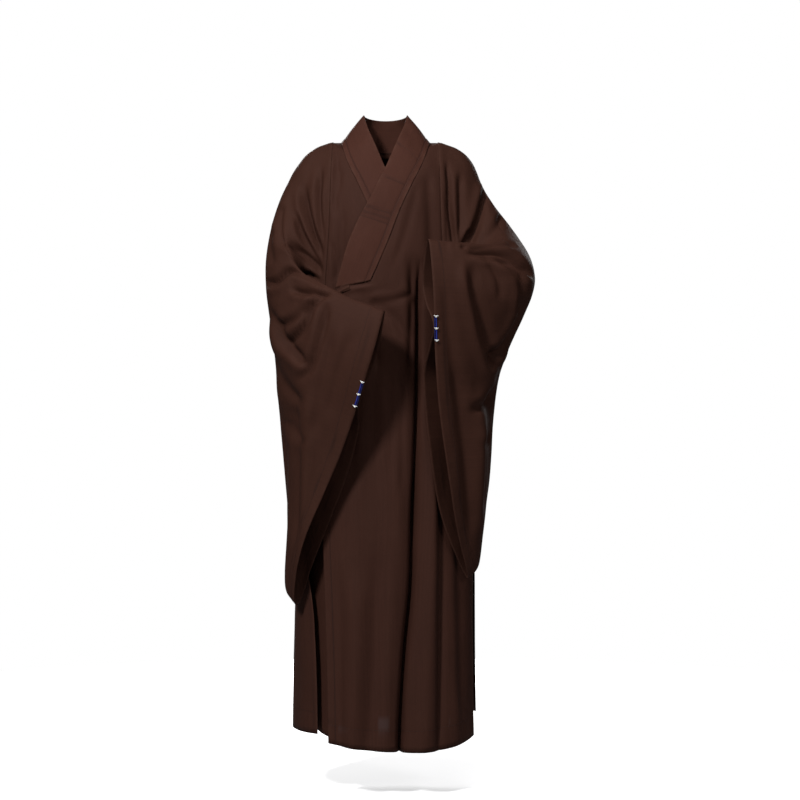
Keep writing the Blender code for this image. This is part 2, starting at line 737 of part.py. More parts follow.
def make_band(material):
    rows = band_rows()
    share = np.linspace(0.0, 1.0, BAND_COLUMNS)[None, :]
    parts = []
    for side in (1, -1):
        x = side * (rows[:, 0:1] * (1 - share) + rows[:, 2:3] * share)
        z = rows[:, 1:2] * (1 - share) + rows[:, 4:5] * share
        held_z = np.minimum(z, -0.0015)
        turn = front_turn(x, held_z)
        lying = body_point(turn, np.minimum(z, 0.0))
        lift = np.zeros(len(rows)) if side > 0 else under_lift(np.arange(len(rows), dtype=float))
        lying = lying + body_normal(turn, held_z) * lift[:, None, None]
        standing_y = lying[:, 0:1, 1] * (1 - share) + rows[:, 3:4] * share
        lie = rows[:, 5:6]
        y = np.where(share > 0, lying[..., 1] * lie + standing_y * (1 - lie), lying[..., 1])
        parts.append(np.stack([x, y, z], axis=-1))
    neck = neck_line()
    across, back = neck_turns()
    top_half = BAND[0][2] * MM
    top_y = BAND[0][3] * MM
    top = np.stack(
        [
            top_half * across,
            top_y + (NECK_BACK_TOP[0] - top_y) * back,
            BAND[0][4] * MM + (NECK_BACK_TOP[1] - BAND[0][4] * MM) * back,
        ],
        axis=-1,
    )
    collar = neck[:, None] * (1 - share[..., None]) + top[:, None] * share[..., None]
    grid = np.concatenate([parts[0][::-1], collar[1:-1], parts[1]])
    normals = grid_normals(grid, False)
    place = np.arange(len(grid))
    row = np.maximum(np.maximum(BAND_ROWS - place, place - (len(grid) - 1 - BAND_ROWS)), 0)
    ease_edge(grid, "first_column", band_gap(row)[:, None])
    ease_edge(grid, "first_row", BAND_END_GAP)
    return wall("neckband", grid, normals, BAND_CLOTH, material)


def make_bar(name, centre_points, wide, normals, width, thickness, lift, material):
    middle = centre_points + normals * lift
    grid = np.stack([middle - wide * width / 2, middle, middle + wide * width / 2], axis=1)
    sides = np.stack([normals] * 3, axis=1)
    return wall(name, grid, sides, thickness, material)


# A blue bar with three knots on the sleeve's outer face, beside the mouth's edge.
def make_tack(name, side, grid, normals, tack_drop, blue, white):
    half = grid.shape[1] // 2
    edge = grid[-1, : half + 1]
    near = grid[-2, : half + 1]
    edge_normal = normals[-1, : half + 1]
    drops = (edge[0, 2] - edge[:, 2]) / (edge[0, 2] - edge[half, 2])
    length = edge[0, 2] - edge[half, 2]
    reach = TACK_LENGTH / 2 / length
    at = np.linspace(tack_drop - reach, tack_drop + reach, 9)
    point = np.stack([np.interp(at, drops, edge[:, i]) for i in range(3)], axis=-1)
    inner = np.stack([np.interp(at, drops, near[:, i]) for i in range(3)], axis=-1)
    normal = np.stack([np.interp(at, drops, edge_normal[:, i]) for i in range(3)], axis=-1)
    normal /= np.linalg.norm(normal, axis=-1, keepdims=True)
    wide = inner - point
    wide -= normal * np.sum(wide * normal, axis=-1, keepdims=True)
    wide /= np.linalg.norm(wide, axis=-1, keepdims=True)
    middle = point + wide * (TACK_WIDTH / 2 + TACK_GAP)
    lift = CLOTH / 2 + TACK_THICK / 2 + TACK_GAP
    make_bar(name, middle, wide, normal, TACK_WIDTH, TACK_THICK, lift, blue)
    for number, place in enumerate((0, 4, 8), start=1):
        centre = middle[place] + normal[place] * (lift + TACK_THICK / 2 + KNOT_SIZE[2] / 2 + SEAM_GAP)
        make_knot(f"{name}_knot_{number}", centre, wide[place], normal[place], white)


def make_knot(name, centre, wide, normal, material):
    along = np.cross(normal, wide)
    verts = []
    faces = []
    rings, steps = 4, 8
    verts.append(centre - wide * KNOT_SIZE[0] / 2)
    for r in range(1, rings):
        lean = math.pi * r / rings
        for s in range(steps):
            spin = 2 * math.pi * s / steps
            verts.append(
                centre
                - wide * KNOT_SIZE[0] / 2 * math.cos(lean)
                + along * KNOT_SIZE[1] / 2 * math.sin(lean) * math.cos(spin)
                + normal * KNOT_SIZE[2] / 2 * math.sin(lean) * math.sin(spin)
            )
    verts.append(centre + wide * KNOT_SIZE[0] / 2)
    for s in range(steps):
        n = (s + 1) % steps
        faces.append((0, 1 + n, 1 + s))
        for r in range(rings - 2):
            a = 1 + r * steps
            faces.append((a + s, a + n, a + steps + n, a + steps + s))
        last = 1 + (rings - 2) * steps
        faces.append((last + s, last + n, len(verts) - 1))
    return new_object(name, verts, faces, material)


def make_tie(material):
    route = walk(np.asarray(TIE_ROUTE, float) * MM, 9)
    turn = front_turn(route[:, 0], route[:, 1])
    normal = body_normal(turn, route[:, 1])
    base = body_point(turn, route[:, 1]) + normal * (route[:, 2] + LAP_LIFT)[:, None]
    along = np.gradient(base, axis=0)
    along /= np.linalg.norm(along, axis=-1, keepdims=True)
    wide = np.cross(normal, along)
    return make_bar("waist_tie", base, wide, normal, TIE_WIDTH, CLOTH, 0.001, material)


def main():
    clear_scene()
    cloth = {name: principled(name + "_cloth", CLOTH_COLOUR, 0.72) for name in (
        "back", "front_over", "front_under", "sleeve_right", "sleeve_left", "waist_tie")}
    make_back(cloth["back"])
    make_front("front_over", 1, OVER_EDGE, OVER_COLUMNS, OVER_CREASES, cloth["front_over"])
    make_front("front_under", -1, UNDER_EDGE, UNDER_COLUMNS, UNDER_CREASES, cloth["front_under"])
    make_band(principled("neckband_cloth", BAND_COLOUR, 0.70))
    blue = principled("tack_thread", TACK_COLOUR, 0.55)
    white = principled("knot_thread", KNOT_COLOUR, 0.60)
    for name, side, table, drop, creases in (
        ("right", -1, RIGHT_SLEEVE, RIGHT_TACK_DROP, SLEEVE_CREASES_RIGHT),
        ("left", 1, LEFT_SLEEVE, LEFT_TACK_DROP, SLEEVE_CREASES_LEFT),
    ):
        grid, normals = make_sleeve("sleeve_" + name, side, table, drop, creases, cloth["sleeve_" + name])
        make_tack("tack_" + name, side, grid, normals, drop, blue, white)
    make_tie(cloth["waist_tie"])


main()
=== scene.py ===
# Dresses the long crossover robe in crepe, sewing and thread, and lights it in a pale studio.
# Metres, +Z up, the robe's front looks along -Y. Tables of places are in millimetres.
import math

import bpy
import numpy as np
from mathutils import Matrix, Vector, noise


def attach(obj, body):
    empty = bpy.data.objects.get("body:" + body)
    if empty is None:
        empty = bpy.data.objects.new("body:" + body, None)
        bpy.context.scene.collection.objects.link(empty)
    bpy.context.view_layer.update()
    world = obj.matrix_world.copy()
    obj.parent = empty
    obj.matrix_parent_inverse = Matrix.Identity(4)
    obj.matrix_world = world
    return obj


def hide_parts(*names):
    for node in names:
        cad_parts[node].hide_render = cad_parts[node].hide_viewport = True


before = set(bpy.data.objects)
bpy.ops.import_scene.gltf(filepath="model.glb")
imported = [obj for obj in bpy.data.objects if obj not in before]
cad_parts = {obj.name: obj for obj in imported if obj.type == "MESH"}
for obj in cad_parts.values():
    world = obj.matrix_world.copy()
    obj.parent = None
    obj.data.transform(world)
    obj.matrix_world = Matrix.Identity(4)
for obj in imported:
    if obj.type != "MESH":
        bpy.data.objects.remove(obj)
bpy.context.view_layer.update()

mm = 0.001
scene = bpy.context.scene

# Form shared by every panel

form = {
    "armholeRows": 20,
    "skirtRows": 12,
    "bandRows": 14,
    "neckSteps": 14,
    "shoulderSteps": 3,
    "overColumns": 28,
    "underColumns": 12,
    "sleeveRings": 18,
    "underarm": -0.455,
    "turnIn": -0.300,
    "ventTop": -0.640,
    "hem": -1.261,
    "hemSag": 0.020,
    "backHem": -1.250,
    "backHemRise": 0.024,      # towards the wearer's left
    "neckDepth": 0.062,        # how far back the neckline reaches
    "underHemRise": 0.050,
    "armholeBow": 3.5,
    "armholeTurn": 43.0,
    "squareness": 2.3,
    "domeHeight": 0.140,
    "bodyCentre": 0.005,
    "probe": 0.0015,           # half the height over which a slope is read
    "underLift": -0.0060,
    "pleatLift": -0.0110,
    "skirtLift": -0.0040,
    "lapLift": 0.0034,
    "lapFrom": (-0.030, -0.26),      # x and z where the lift begins
    "lapFade": 0.05,
    "neckBlendRows": 8.0,
    "neckFade": 0.12,
    "clothThick": 0.0009,      # the real crepe, a little stout so that its edges show
    "bandThick": 0.0020,
}

sewing = {
    "hemUp": 0.045,            # pressed line above the lower edge, then its stitches
    "hemStitch": 0.0445,
    "cuffUp": 0.022,
    "cuffStitch": 0.0215,
    "ventIn": 0.012,           # pressed lines beside the vents and the lap's edge
    "lapIn": 0.016,
    "pressed": 0.0005,         # how deep they lie
    "lineWide": 0.0012,
    "turnedIn": 0.0006,        # a sewn edge turns in by this, over this width
    "turnedWide": 0.0025,
    "flatShare": 0.12,         # share of a panel's width that its sewn edge holds flat
    "faceOn": 0.35,            # drawn folds fade where the cloth turns from their view
}

bodyTable = [                  # height, half width, front depth, back depth, shift
    (0, 150, 100, 95, 0),
    (-100, 160, 114, 104, 0),
    (-200, 164, 130, 110, 0),
    (-300, 165, 135, 112, 0),
    (-455, 165, 131, 120, 0),
    (-600, 173, 135, 132, 1),
    (-850, 190, 146, 146, 0),
    (-1100, 196, 158, 156, 0),
    (-1300, 199, 168, 164, 0),
]

ventTable = [                  # height, then turns: over front, under front, back right, back left
    (-640, 0, 180, 180, 360),
    (-760, 8, 174, 176, 357),
    (-950, 18, 166, 142, 353),
    (-1100, 20, 163, 135, 351),
    (-1300, 21, 162, 132, 350),
]


def smoothStep(value):
    held = np.clip(value, 0.0, 1.0)
    return held * held * (3.0 - 2.0 * held)


def curveAt(knots, values, at):
    knots = np.asarray(knots, float)
    values = np.asarray(values, float)
    at = np.clip(np.asarray(at, float), knots[0], knots[-1])
    slopes = np.gradient(values, knots, axis=0)
    index = np.clip(np.searchsorted(knots, at) - 1, 0, len(knots) - 2)
    step = knots[index + 1] - knots[index]
    t = (at - knots[index]) / step
    if values.ndim > 1:
        t = t[..., None]
        step = step[..., None]
    low, high = values[index], values[index + 1]
    return (
        low * (2 * t**3 - 3 * t**2 + 1)
        + slopes[index] * step * (t**3 - 2 * t**2 + t)
        + high * (3 * t**2 - 2 * t**3)
        + slopes[index + 1] * step * (t**3 - t**2)
    )


def walked(grid, axis=0):      # metres along points or cloth from the first row or column
    steps = np.linalg.norm(np.diff(grid, axis=axis), axis=-1)
    return np.insert(np.cumsum(steps, axis=axis), 0, 0.0, axis=axis)


def rowKnots(grid):            # metres down to each row, on average
    steps = np.linalg.norm(np.diff(grid, axis=0), axis=-1).mean(axis=1)
    return np.insert(np.cumsum(steps), 0, 0.0)


def unit(vectors):
    return vectors / np.maximum(np.linalg.norm(vectors, axis=-1, keepdims=True), 1e-12)


def readAt(at, knots, vectors):
    return np.stack([np.interp(at, knots, vectors[:, i]) for i in range(3)], axis=-1)


def walkTable(rows, count):    # points evenly spaced along the line through a table
    rows = np.asarray(rows, float)
    knots = walked(rows[:, :2])
    return curveAt(knots, rows, knots[-1] * np.linspace(0.0, 1.0, count))


def bodySizes(height):
    table = np.asarray(bodyTable, float) * mm
    knots = table[::-1, 0]
    return [curveAt(knots, table[::-1, column], height) for column in (1, 2, 3, 4)]


def bodyPoint(turn, height):
    turn = np.asarray(turn, float)
    height = np.asarray(height, float)
    halfWidth, front, back, shift = bodySizes(height)
    reach = np.clip(-height / form["domeHeight"], 0.0, 1.0)
    dome = np.sqrt(np.maximum(1.0 - (1.0 - reach) ** 2, 0.0))
    angle = np.radians(turn)
    power = 2.0 / form["squareness"]
    across = np.sign(np.cos(angle)) * np.abs(np.cos(angle)) ** power
    out = np.abs(np.sin(angle)) ** power
    x = shift + halfWidth * across
    y = form["bodyCentre"] + np.where(np.sin(angle) > 0.0, -front, back) * dome * out
    return np.stack([x, y, height + 0.0 * x], axis=-1)


def turnOfX(x, height):        # the turn of a place on the front that is seen at x
    halfWidth, _, _, shift = bodySizes(height)
    share = np.clip((np.asarray(x, float) - shift) / halfWidth, -1.0, 1.0)
    return np.degrees(np.arccos(np.sign(share) * np.abs(share) ** (form["squareness"] / 2.0)))


def bodyNormal(turn, height):
    probe = form["probe"]
    height = np.minimum(height, -probe)
    along = bodyPoint(turn + 0.5, height) - bodyPoint(turn - 0.5, height)
    down = bodyPoint(turn, height - probe) - bodyPoint(turn, height + probe)
    return unit(np.cross(along, down))


def armholeHeights():
    steps = np.arange(form["armholeRows"] + 1) / form["armholeRows"]
    return form["underarm"] * (1.0 - np.cos(np.pi * steps)) / 2.0


def armholeTurn(height):
    reach = np.clip((form["turnIn"] - height) / (form["turnIn"] - form["underarm"]), 0.0, 1.0)
    bow = form["armholeBow"] * np.sin(np.pi * np.clip(height / form["turnIn"], 0.0, 1.0))
    return form["armholeTurn"] * np.sqrt(1.0 - reach**2) + bow


def rowHeights():
    skirt = np.linspace(form["underarm"], form["hem"], form["skirtRows"] + 1)
    return np.concatenate([armholeHeights(), skirt[1:]])


# Working with grids of cloth

def gridNormals(grid, closed, outward=None):
    if closed:
        across = np.roll(grid, -1, axis=1) - np.roll(grid, 1, axis=1)
    else:
        across = np.gradient(grid, axis=1)
    normal = unit(np.cross(across, np.gradient(grid, axis=0)))
    if outward is not None:
        turned = np.sum(normal * outward, axis=-1, keepdims=True) < 0
        normal = np.where(turned, -normal, normal)
    return normal


# More rows and columns between those of a grid. Closed gives the columns' places round a tube,
# and points is the grid whose rows' spacing counts, where grid holds normals.
def refine(grid, rowTimes, columnTimes, closed=None, points=None):
    rows, columns = grid.shape[:2]
    if closed is not None:
        wide = np.concatenate([grid[:, -3:], grid, grid[:, :4]], axis=1)
        at = 3.0 + closed
    else:
        wide = grid
        at = np.linspace(0.0, columns - 1.0, (columns - 1) * columnTimes + 1)
    side = curveAt(np.arange(wide.shape[1]), wide.transpose(1, 0, 2).reshape(wide.shape[1], -1), at)
    side = side.reshape(len(at), rows, 3).transpose(1, 0, 2)
    knots = rowKnots(grid if points is None else points)
    down = np.interp(np.linspace(0.0, rows - 1.0, (rows - 1) * rowTimes + 1), np.arange(rows), knots)
    return curveAt(knots, side.reshape(rows, -1), down).reshape(len(down), len(at), 3)


def pointAt(grid, row, column):   # grid point at broken row and column numbers
    row = np.clip(np.asarray(row, float), 0, grid.shape[0] - 1.001)
    column = np.clip(np.asarray(column, float), 0, grid.shape[1] - 1.001)
    r, c = row.astype(int), column.astype(int)
    fr, fc = (row - r)[..., None], (column - c)[..., None]
    top = grid[r, c] * (1 - fc) + grid[r, c + 1] * fc
    low = grid[r + 1, c] * (1 - fc) + grid[r + 1, c + 1] * fc
    return top * (1 - fr) + low * fr


# Folds are lines on the front or back view: points x, z; half width; depth (a ridge has a minus);
# lean, how much a softer ridge stands beside the trough, on the right hand of who walks the line;
# steep, where given, over 1 for a fold that is wide on that side and steep on the other.
def foldDepth(folds, x, z):
    depth = np.zeros_like(x)
    for line, halfWidth, deep, lean, *rest in folds:
        steep = rest[0] if rest else 1.0
        line = np.asarray(line, float) * mm
        knots = walked(line)
        fine = curveAt(knots, line, knots[-1] * np.linspace(0.0, 1.0, 26))
        width = halfWidth * mm
        margin = 4.0 * width
        near = (x > fine[:, 0].min() - margin) & (x < fine[:, 0].max() + margin)
        near &= (z > fine[:, 1].min() - margin) & (z < fine[:, 1].max() + margin)
        if not near.any():
            continue
        px, pz = x[near], z[near]
        best = np.full(px.shape, 1e9)
        aside = np.zeros_like(px)
        along = np.zeros_like(px)
        for k in range(len(fine) - 1):
            step = fine[k + 1] - fine[k]
            length = np.hypot(*step)
            if length < 1e-9:
                continue
            t = ((px - fine[k, 0]) * step[0] + (pz - fine[k, 1]) * step[1]) / length**2
            off = ((px - fine[k, 0]) * step[1] - (pz - fine[k, 1]) * step[0]) / length
            held = np.clip(t, 0.0, 1.0)
            gap = np.hypot(px - fine[k, 0] - held * step[0], pz - fine[k, 1] - held * step[1])
            closer = gap < best
            best = np.where(closer, gap, best)
            aside = np.where(closer, np.sign(off) * gap, aside)
            along = np.where(closer, (k + held) / (len(fine) - 1.0), along)
        ends = smoothStep(along / 0.22 + 0.05) * smoothStep((1.0 - along) / 0.22 + 0.05)
        reach = width * np.where(aside > 0, steep, 2.0 - steep)      # a fold is steeper on one side
        trough = np.exp(-((best / reach) ** 2))
        ridge = np.exp(-(((aside - 1.9 * width) / (1.3 * width)) ** 2))
        depth[near] += deep * mm * ends * (trough - lean * ridge)
    return depth


def softWaves(grid, size, height, stretch=4.0):   # slight slack that no drawn fold gives
    flat = grid.reshape(-1, 3)
    out = np.empty(len(flat))
    for i, (x, y, z) in enumerate(flat):
        out[i] = noise.noise((x / size, y / size, z / (size * stretch)))
        out[i] += 0.4 * noise.noise((x / size * 2.7 + 5.0, y / size * 2.7, z / (size * stretch * 0.5)))
    return out.reshape(grid.shape[:2]) * height


def edgeDistance(grid, closed):   # metres to the nearest free edge, along the cloth
    down = walked(grid, 0)
    away = np.minimum(down, down[-1] - down)
    if not closed:
        side = walked(grid, 1)
        away = np.minimum(away, np.minimum(side, side[:, -1:] - side))
    return away


def linkMesh(name, verts, faces, material):
    mesh = bpy.data.meshes.new(name)
    mesh.from_pydata(np.asarray(verts).tolist(), [], faces)
    mesh.update()
    mesh.shade_smooth()
    mesh.materials.append(material)
    piece = bpy.data.objects.new(name, mesh)
    scene.collection.objects.link(piece)
    return piece


def clothPiece(name, grid, normals, thickness, material, closed=False, marks=None):
    rows, columns = grid.shape[:2]
    outer = grid + normals * thickness / 2.0
    inner = grid - normals * thickness / 2.0
    midRow, midColumn = rows // 2, columns // 3
    middle = grid[midRow, midColumn]
    facing = np.cross(grid[midRow + 1, midColumn] - middle, grid[midRow, midColumn + 1] - middle)
    if np.dot(facing, normals[midRow, midColumn]) < 0:
        outer, inner = inner, outer
    spans = columns if closed else columns - 1
    back = rows * columns
    r, c = np.meshgrid(np.arange(rows - 1), np.arange(spans), indexing="ij")
    r, c = r.ravel(), c.ravel()
    n = (c + 1) % columns
    a, b = r * columns + c, r * columns + n
    d, e = a + columns, b + columns
    faces = [np.stack([a, d, e, b], 1), np.stack([a, b, e, d], 1) + back]
    places = [(c, r, c, r + 1, c + 1, r + 1, c + 1, r), (c, r, c + 1, r, c + 1, r + 1, c, r + 1)]
    c = np.arange(spans)
    n = (c + 1) % columns
    last = (rows - 1) * columns
    zero, end = 0 * c, 0 * c + rows - 1
    faces += [np.stack([c, n, back + n, back + c], 1)]
    faces += [np.stack([last + c, back + last + c, back + last + n, last + n], 1)]
    places += [(c, zero, c + 1, zero, c + 1, zero, c, zero), (c, end, c, end, c + 1, end, c + 1, end)]
    if not closed:
        r = np.arange(rows - 1)
        a, d = r * columns, (r + 1) * columns
        b, e = a + columns - 1, d + columns - 1
        zero, end = 0 * r, 0 * r + columns - 1
        faces += [np.stack([a, back + a, back + d, d], 1), np.stack([b, e, back + e, back + b], 1)]
        places += [(zero, r, zero, r, zero, r + 1, zero, r + 1)]
        places += [(end, r, end, r + 1, end, r + 1, end, r)]
    verts = np.concatenate([outer.reshape(-1, 3), inner.reshape(-1, 3)])
    piece = linkMesh(name, verts, np.concatenate(faces).tolist(), material)
    loops = np.concatenate([np.stack(p, 1).reshape(-1, 2) for p in places]).astype(float)
    loops[:, 0] *= np.linalg.norm(np.diff(grid, axis=1), axis=-1).mean()
    loops[:, 1] *= -np.linalg.norm(np.diff(grid, axis=0), axis=-1).mean()
    piece.data.uv_layers.new(name="clothMap").data.foreach_set("uv", loops.ravel())
    marks = marks or {}
    edge = np.exp(-edgeDistance(grid, closed) / 0.0035)     # red, edge wear; green, seam, darkened there as painted shade; blue, painted light showing through the cloth
    layers = np.ones((2 * back, 4))
    for channel, values in enumerate((edge, marks.get("seam", 0 * edge), marks.get("lightThrough", 0 * edge))):
        layers[:, channel] = np.tile(values.ravel(), 2)
    colours = piece.data.color_attributes.new("marks", "FLOAT_COLOR", "POINT")
    colours.data.foreach_set("color", layers.ravel())
    return piece


def settle(piece, slotName, *nodes):
    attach(piece, "root")
    if nodes:
        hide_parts(*nodes)
    return piece


# Materials

def newGroup(name, inputs, outputs):
    group = bpy.data.node_groups.new(name, "ShaderNodeTree")
    for label, kind, value in inputs:
        socket = group.interface.new_socket(label, in_out="INPUT", socket_type=kind)
        socket.default_value = value
    for label, kind in outputs:
        group.interface.new_socket(label, in_out="OUTPUT", socket_type=kind)
    start = group.nodes.new("NodeGroupInput")
    end = group.nodes.new("NodeGroupOutput")
    return group, start, end


def mathNode(tree, operation, a, b=None, clamp=False):
    node = tree.nodes.new("ShaderNodeMath")
    node.operation = operation
    node.use_clamp = clamp
    for socket, value in zip(node.inputs, (a, b)):
        if isinstance(value, (int, float)):
            socket.default_value = value
        elif value is not None:
            tree.links.new(value, socket)
    return node.outputs[0]


def plus(tree, a, b):
    return mathNode(tree, "ADD", a, b)


def times(tree, a, b, clamp=False):
    return mathNode(tree, "MULTIPLY", a, b, clamp)


def shifted(tree, value, strength, middle=0.5, clamp=False):   # a noise about nought, scaled
    return times(tree, plus(tree, value, -middle), strength, clamp)


def mixColour(tree, share, a, b):
    node = tree.nodes.new("ShaderNodeMix")
    node.data_type = "RGBA"
    for socket, value in ((node.inputs[0], share), (node.inputs[6], a), (node.inputs[7], b)):
        if isinstance(value, (int, float, tuple)):
            socket.default_value = value
        else:
            tree.links.new(value, socket)
    return node.outputs[2]


def noiseNode(tree, vector, scale, detail=2.0, rough=0.5):
    node = tree.nodes.new("ShaderNodeTexNoise")
    node.inputs["Scale"].default_value = scale
    node.inputs["Detail"].default_value = detail
    node.inputs["Roughness"].default_value = rough
    tree.links.new(vector, node.inputs["Vector"])
    return node.outputs["Fac"]


def stretched(tree, vector, scale):
    node = tree.nodes.new("ShaderNodeMapping")
    node.inputs["Scale"].default_value = scale
    tree.links.new(vector, node.inputs["Vector"])
    return node.outputs[0]


def makeCrepeWeave():
    group, start, end = newGroup(
        "crepeWeave",
        [
            ("Thread Size", "NodeSocketFloat", 0.0007),
            ("Cloth Colour", "NodeSocketColor", (0.05, 0.022, 0.015, 1)),
            ("Slub", "NodeSocketFloat", 0.12),
            ("Mottle", "NodeSocketFloat", 0.10),
        ],
        [("Colour", "NodeSocketColor"), ("Roughness", "NodeSocketFloat"), ("Height", "NodeSocketFloat")],
    )
    uvNode = group.nodes.new("ShaderNodeUVMap")
    uvNode.uv_map = "clothMap"
    uv = uvNode.outputs[0]
    parts = group.nodes.new("ShaderNodeSeparateXYZ")
    group.links.new(uv, parts.inputs[0])
    turns = mathNode(group, "DIVIDE", 2.0 * math.pi, start.outputs["Thread Size"])
    warp = mathNode(group, "SINE", times(group, parts.outputs[0], turns))
    weft = mathNode(group, "SINE", times(group, parts.outputs[1], turns))
    pebble = noiseNode(group, uv, 520.0, 2.0, 0.6)
    slub = noiseNode(group, stretched(group, uv, (420.0, 9.0, 1.0)), 1.0, 3.0, 0.6)
    coords = group.nodes.new("ShaderNodeTexCoord")
    cloud = noiseNode(group, coords.outputs["Object"], 7.0, 3.0, 0.55)
    height = plus(group, times(group, times(group, warp, weft), 0.35), times(group, pebble, 0.9))
    group.links.new(plus(group, height, times(group, slub, 0.5)), end.inputs["Height"])
    level = shifted(group, slub, start.outputs["Slub"])
    level = plus(group, level, shifted(group, cloud, start.outputs["Mottle"]))
    level = plus(group, level, shifted(group, pebble, 0.10))
    level = plus(group, times(group, level, 2.0), 1.0)
    scaled = group.nodes.new("ShaderNodeVectorMath")
    scaled.operation = "SCALE"
    group.links.new(start.outputs["Cloth Colour"], scaled.inputs[0])
    group.links.new(level, scaled.inputs["Scale"])
    group.links.new(scaled.outputs[0], end.inputs["Colour"])
    group.links.new(plus(group, times(group, pebble, 0.12), 0.66), end.inputs["Roughness"])
    return group


# Edge wear, painted shade along the seams and painted light that shows through the cloth
def makeWearAndPaintedLight():
    group, start, end = newGroup(
        "wearAndPaintedLight",
        [
            ("Colour", "NodeSocketColor", (0.05, 0.022, 0.015, 1)),
            ("Edge Lift", "NodeSocketFloat", 0.5),
            ("Seam Shade", "NodeSocketFloat", 0.6),
            ("Light Through", "NodeSocketColor", (0.045, 0.026, 0.024, 1)),
        ],
        [("Colour", "NodeSocketColor"), ("Seam", "NodeSocketFloat")],
    )
    marks = group.nodes.new("ShaderNodeAttribute")
    marks.attribute_name = "marks"
    parts = group.nodes.new("ShaderNodeSeparateColor")
    group.links.new(marks.outputs["Color"], parts.inputs[0])
    coords = group.nodes.new("ShaderNodeTexCoord")
    patchy = noiseNode(group, coords.outputs["Object"], 60.0, 3.0, 0.6)
    patchy = shifted(group, patchy, 2.2, 0.35, True)
    marked = times(group, times(group, parts.outputs[0], patchy), start.outputs["Edge Lift"])
    lifted = mixColour(group, marked, start.outputs["Colour"], (0.13, 0.075, 0.055, 1))
    # painted shade: seams, hems and quilt lines darken towards near black
    shaded = times(group, parts.outputs[1], start.outputs["Seam Shade"], True)
    dark = mixColour(group, shaded, lifted, (0.012, 0.006, 0.005, 1))
    # painted light: the blue mark turns the colour paler, as if light showed through the cloth
    lightThrough = mixColour(group, parts.outputs[2], dark, start.outputs["Light Through"])
    group.links.new(lightThrough, end.inputs["Colour"])
    group.links.new(parts.outputs[1], end.inputs["Seam"])
    return group


def makeThreadTwist():
    group, start, end = newGroup(
        "threadTwist",
        [
            ("Thread Colour", "NodeSocketColor", (0.02, 0.03, 0.2, 1)),
            ("Twist Pitch", "NodeSocketFloat", 0.0011),
            ("Shade", "NodeSocketFloat", 0.5),
        ],
        [("Colour", "NodeSocketColor"), ("Roughness", "NodeSocketFloat"), ("Height", "NodeSocketFloat")],
    )
    coords = group.nodes.new("ShaderNodeTexCoord")
    parts = group.nodes.new("ShaderNodeSeparateXYZ")
    group.links.new(coords.outputs["Object"], parts.inputs[0])
    lean = plus(group, parts.outputs[2], times(group, parts.outputs[0], 0.6))
    turns = mathNode(group, "DIVIDE", 2.0 * math.pi, start.outputs["Twist Pitch"])
    wave = mathNode(group, "SINE", times(group, lean, turns))
    fuzz = noiseNode(group, coords.outputs["Object"], 900.0, 3.0, 0.6)
    level = plus(group, times(group, wave, 0.25), fuzz)
    shade = times(group, mathNode(group, "SUBTRACT", 1.0, level), start.outputs["Shade"], True)
    colour = mixColour(group, shade, start.outputs["Thread Colour"], (0.004, 0.004, 0.010, 1))
    group.links.new(colour, end.inputs["Colour"])
    group.links.new(plus(group, times(group, fuzz, 0.2), 0.5), end.inputs["Roughness"])
    group.links.new(level, end.inputs["Height"])
    return group


def groupNode(tree, group, **values):
    node = tree.nodes.new("ShaderNodeGroup")
    node.node_tree = group
    for label, value in values.items():
        node.inputs[label.replace("_", " ")].default_value = value
    return node


def newMaterial(name):
    material = bpy.data.materials.new(name)
    material.use_nodes = True
    return material, material.node_tree, material.node_tree.nodes["Principled BSDF"]


def addRelief(tree, shader, surface, strength, distance, gloss):   # roughness, bump and gloss
    tree.links.new(surface.outputs["Roughness"], shader.inputs["Roughness"])
    bump = tree.nodes.new("ShaderNodeBump")
    bump.inputs["Strength"].default_value = strength
    bump.inputs["Distance"].default_value = distance
    tree.links.new(surface.outputs["Height"], bump.inputs["Height"])
    tree.links.new(bump.outputs[0], shader.inputs["Normal"])
    shader.inputs["Specular IOR Level"].default_value = gloss


def makeCrepe(name, colour, settings):
    material, tree, shader = newMaterial(name)
    cloth = groupNode(tree, weaveGroup, Thread_Size=settings["thread"], Cloth_Colour=colour,
                      Slub=settings["slub"], Mottle=settings["mottle"])
    # adds edge wear, painted seam shade and painted light through the cloth
    marked = groupNode(tree, wearAndLightGroup, Edge_Lift=settings["edgeLift"], Seam_Shade=settings["seamShade"])
    tree.links.new(cloth.outputs["Colour"], marked.inputs["Colour"])
    tree.links.new(marked.outputs["Colour"], shader.inputs["Base Color"])
    addRelief(tree, shader, cloth, settings["bump"], 0.0004, 0.06)
    return material


def makeThread(name, colour, pitch, shade):
    material, tree, shader = newMaterial(name)
    thread = groupNode(tree, twistGroup, Thread_Colour=colour, Twist_Pitch=pitch, Shade=shade)
    tree.links.new(thread.outputs["Colour"], shader.inputs["Base Color"])
    addRelief(tree, shader, thread, 0.5, 0.0003, 0.1)
    return material


crepe = {"thread": 0.0007, "slub": 0.16, "mottle": 0.14, "edgeLift": 0.10, "seamShade": 0.45, "bump": 0.25}
bandCrepe = {**crepe, "slub": 0.12, "seamShade": 0.6, "edgeLift": 0.25}
weaveGroup = makeCrepeWeave()
wearAndLightGroup = makeWearAndPaintedLight()
twistGroup = makeThreadTwist()
robeCrepe = makeCrepe("robeCrepe", (0.0345, 0.0134, 0.0090, 1), crepe)
sleeveCrepe = makeCrepe("sleeveCrepe", (0.0345, 0.0134, 0.0088, 1), crepe)
bandCloth = makeCrepe("bandCloth", (0.0450, 0.0164, 0.0110, 1), bandCrepe)
brownThread = makeThread("brownThread", (0.030, 0.0130, 0.0095, 1), 0.0008, 0.45)
blueThread = makeThread("blueThread", (0.0210, 0.0340, 0.2600, 1), 0.0012, 0.55)
darkBlueThread = makeThread("darkBlueThread", (0.0110, 0.0150, 0.0900, 1), 0.0012, 0.5)
whiteThread = makeThread("whiteThread", (0.80, 0.80, 0.78, 1), 0.0010, 0.25)
print("robe: materials made")


# Sewing

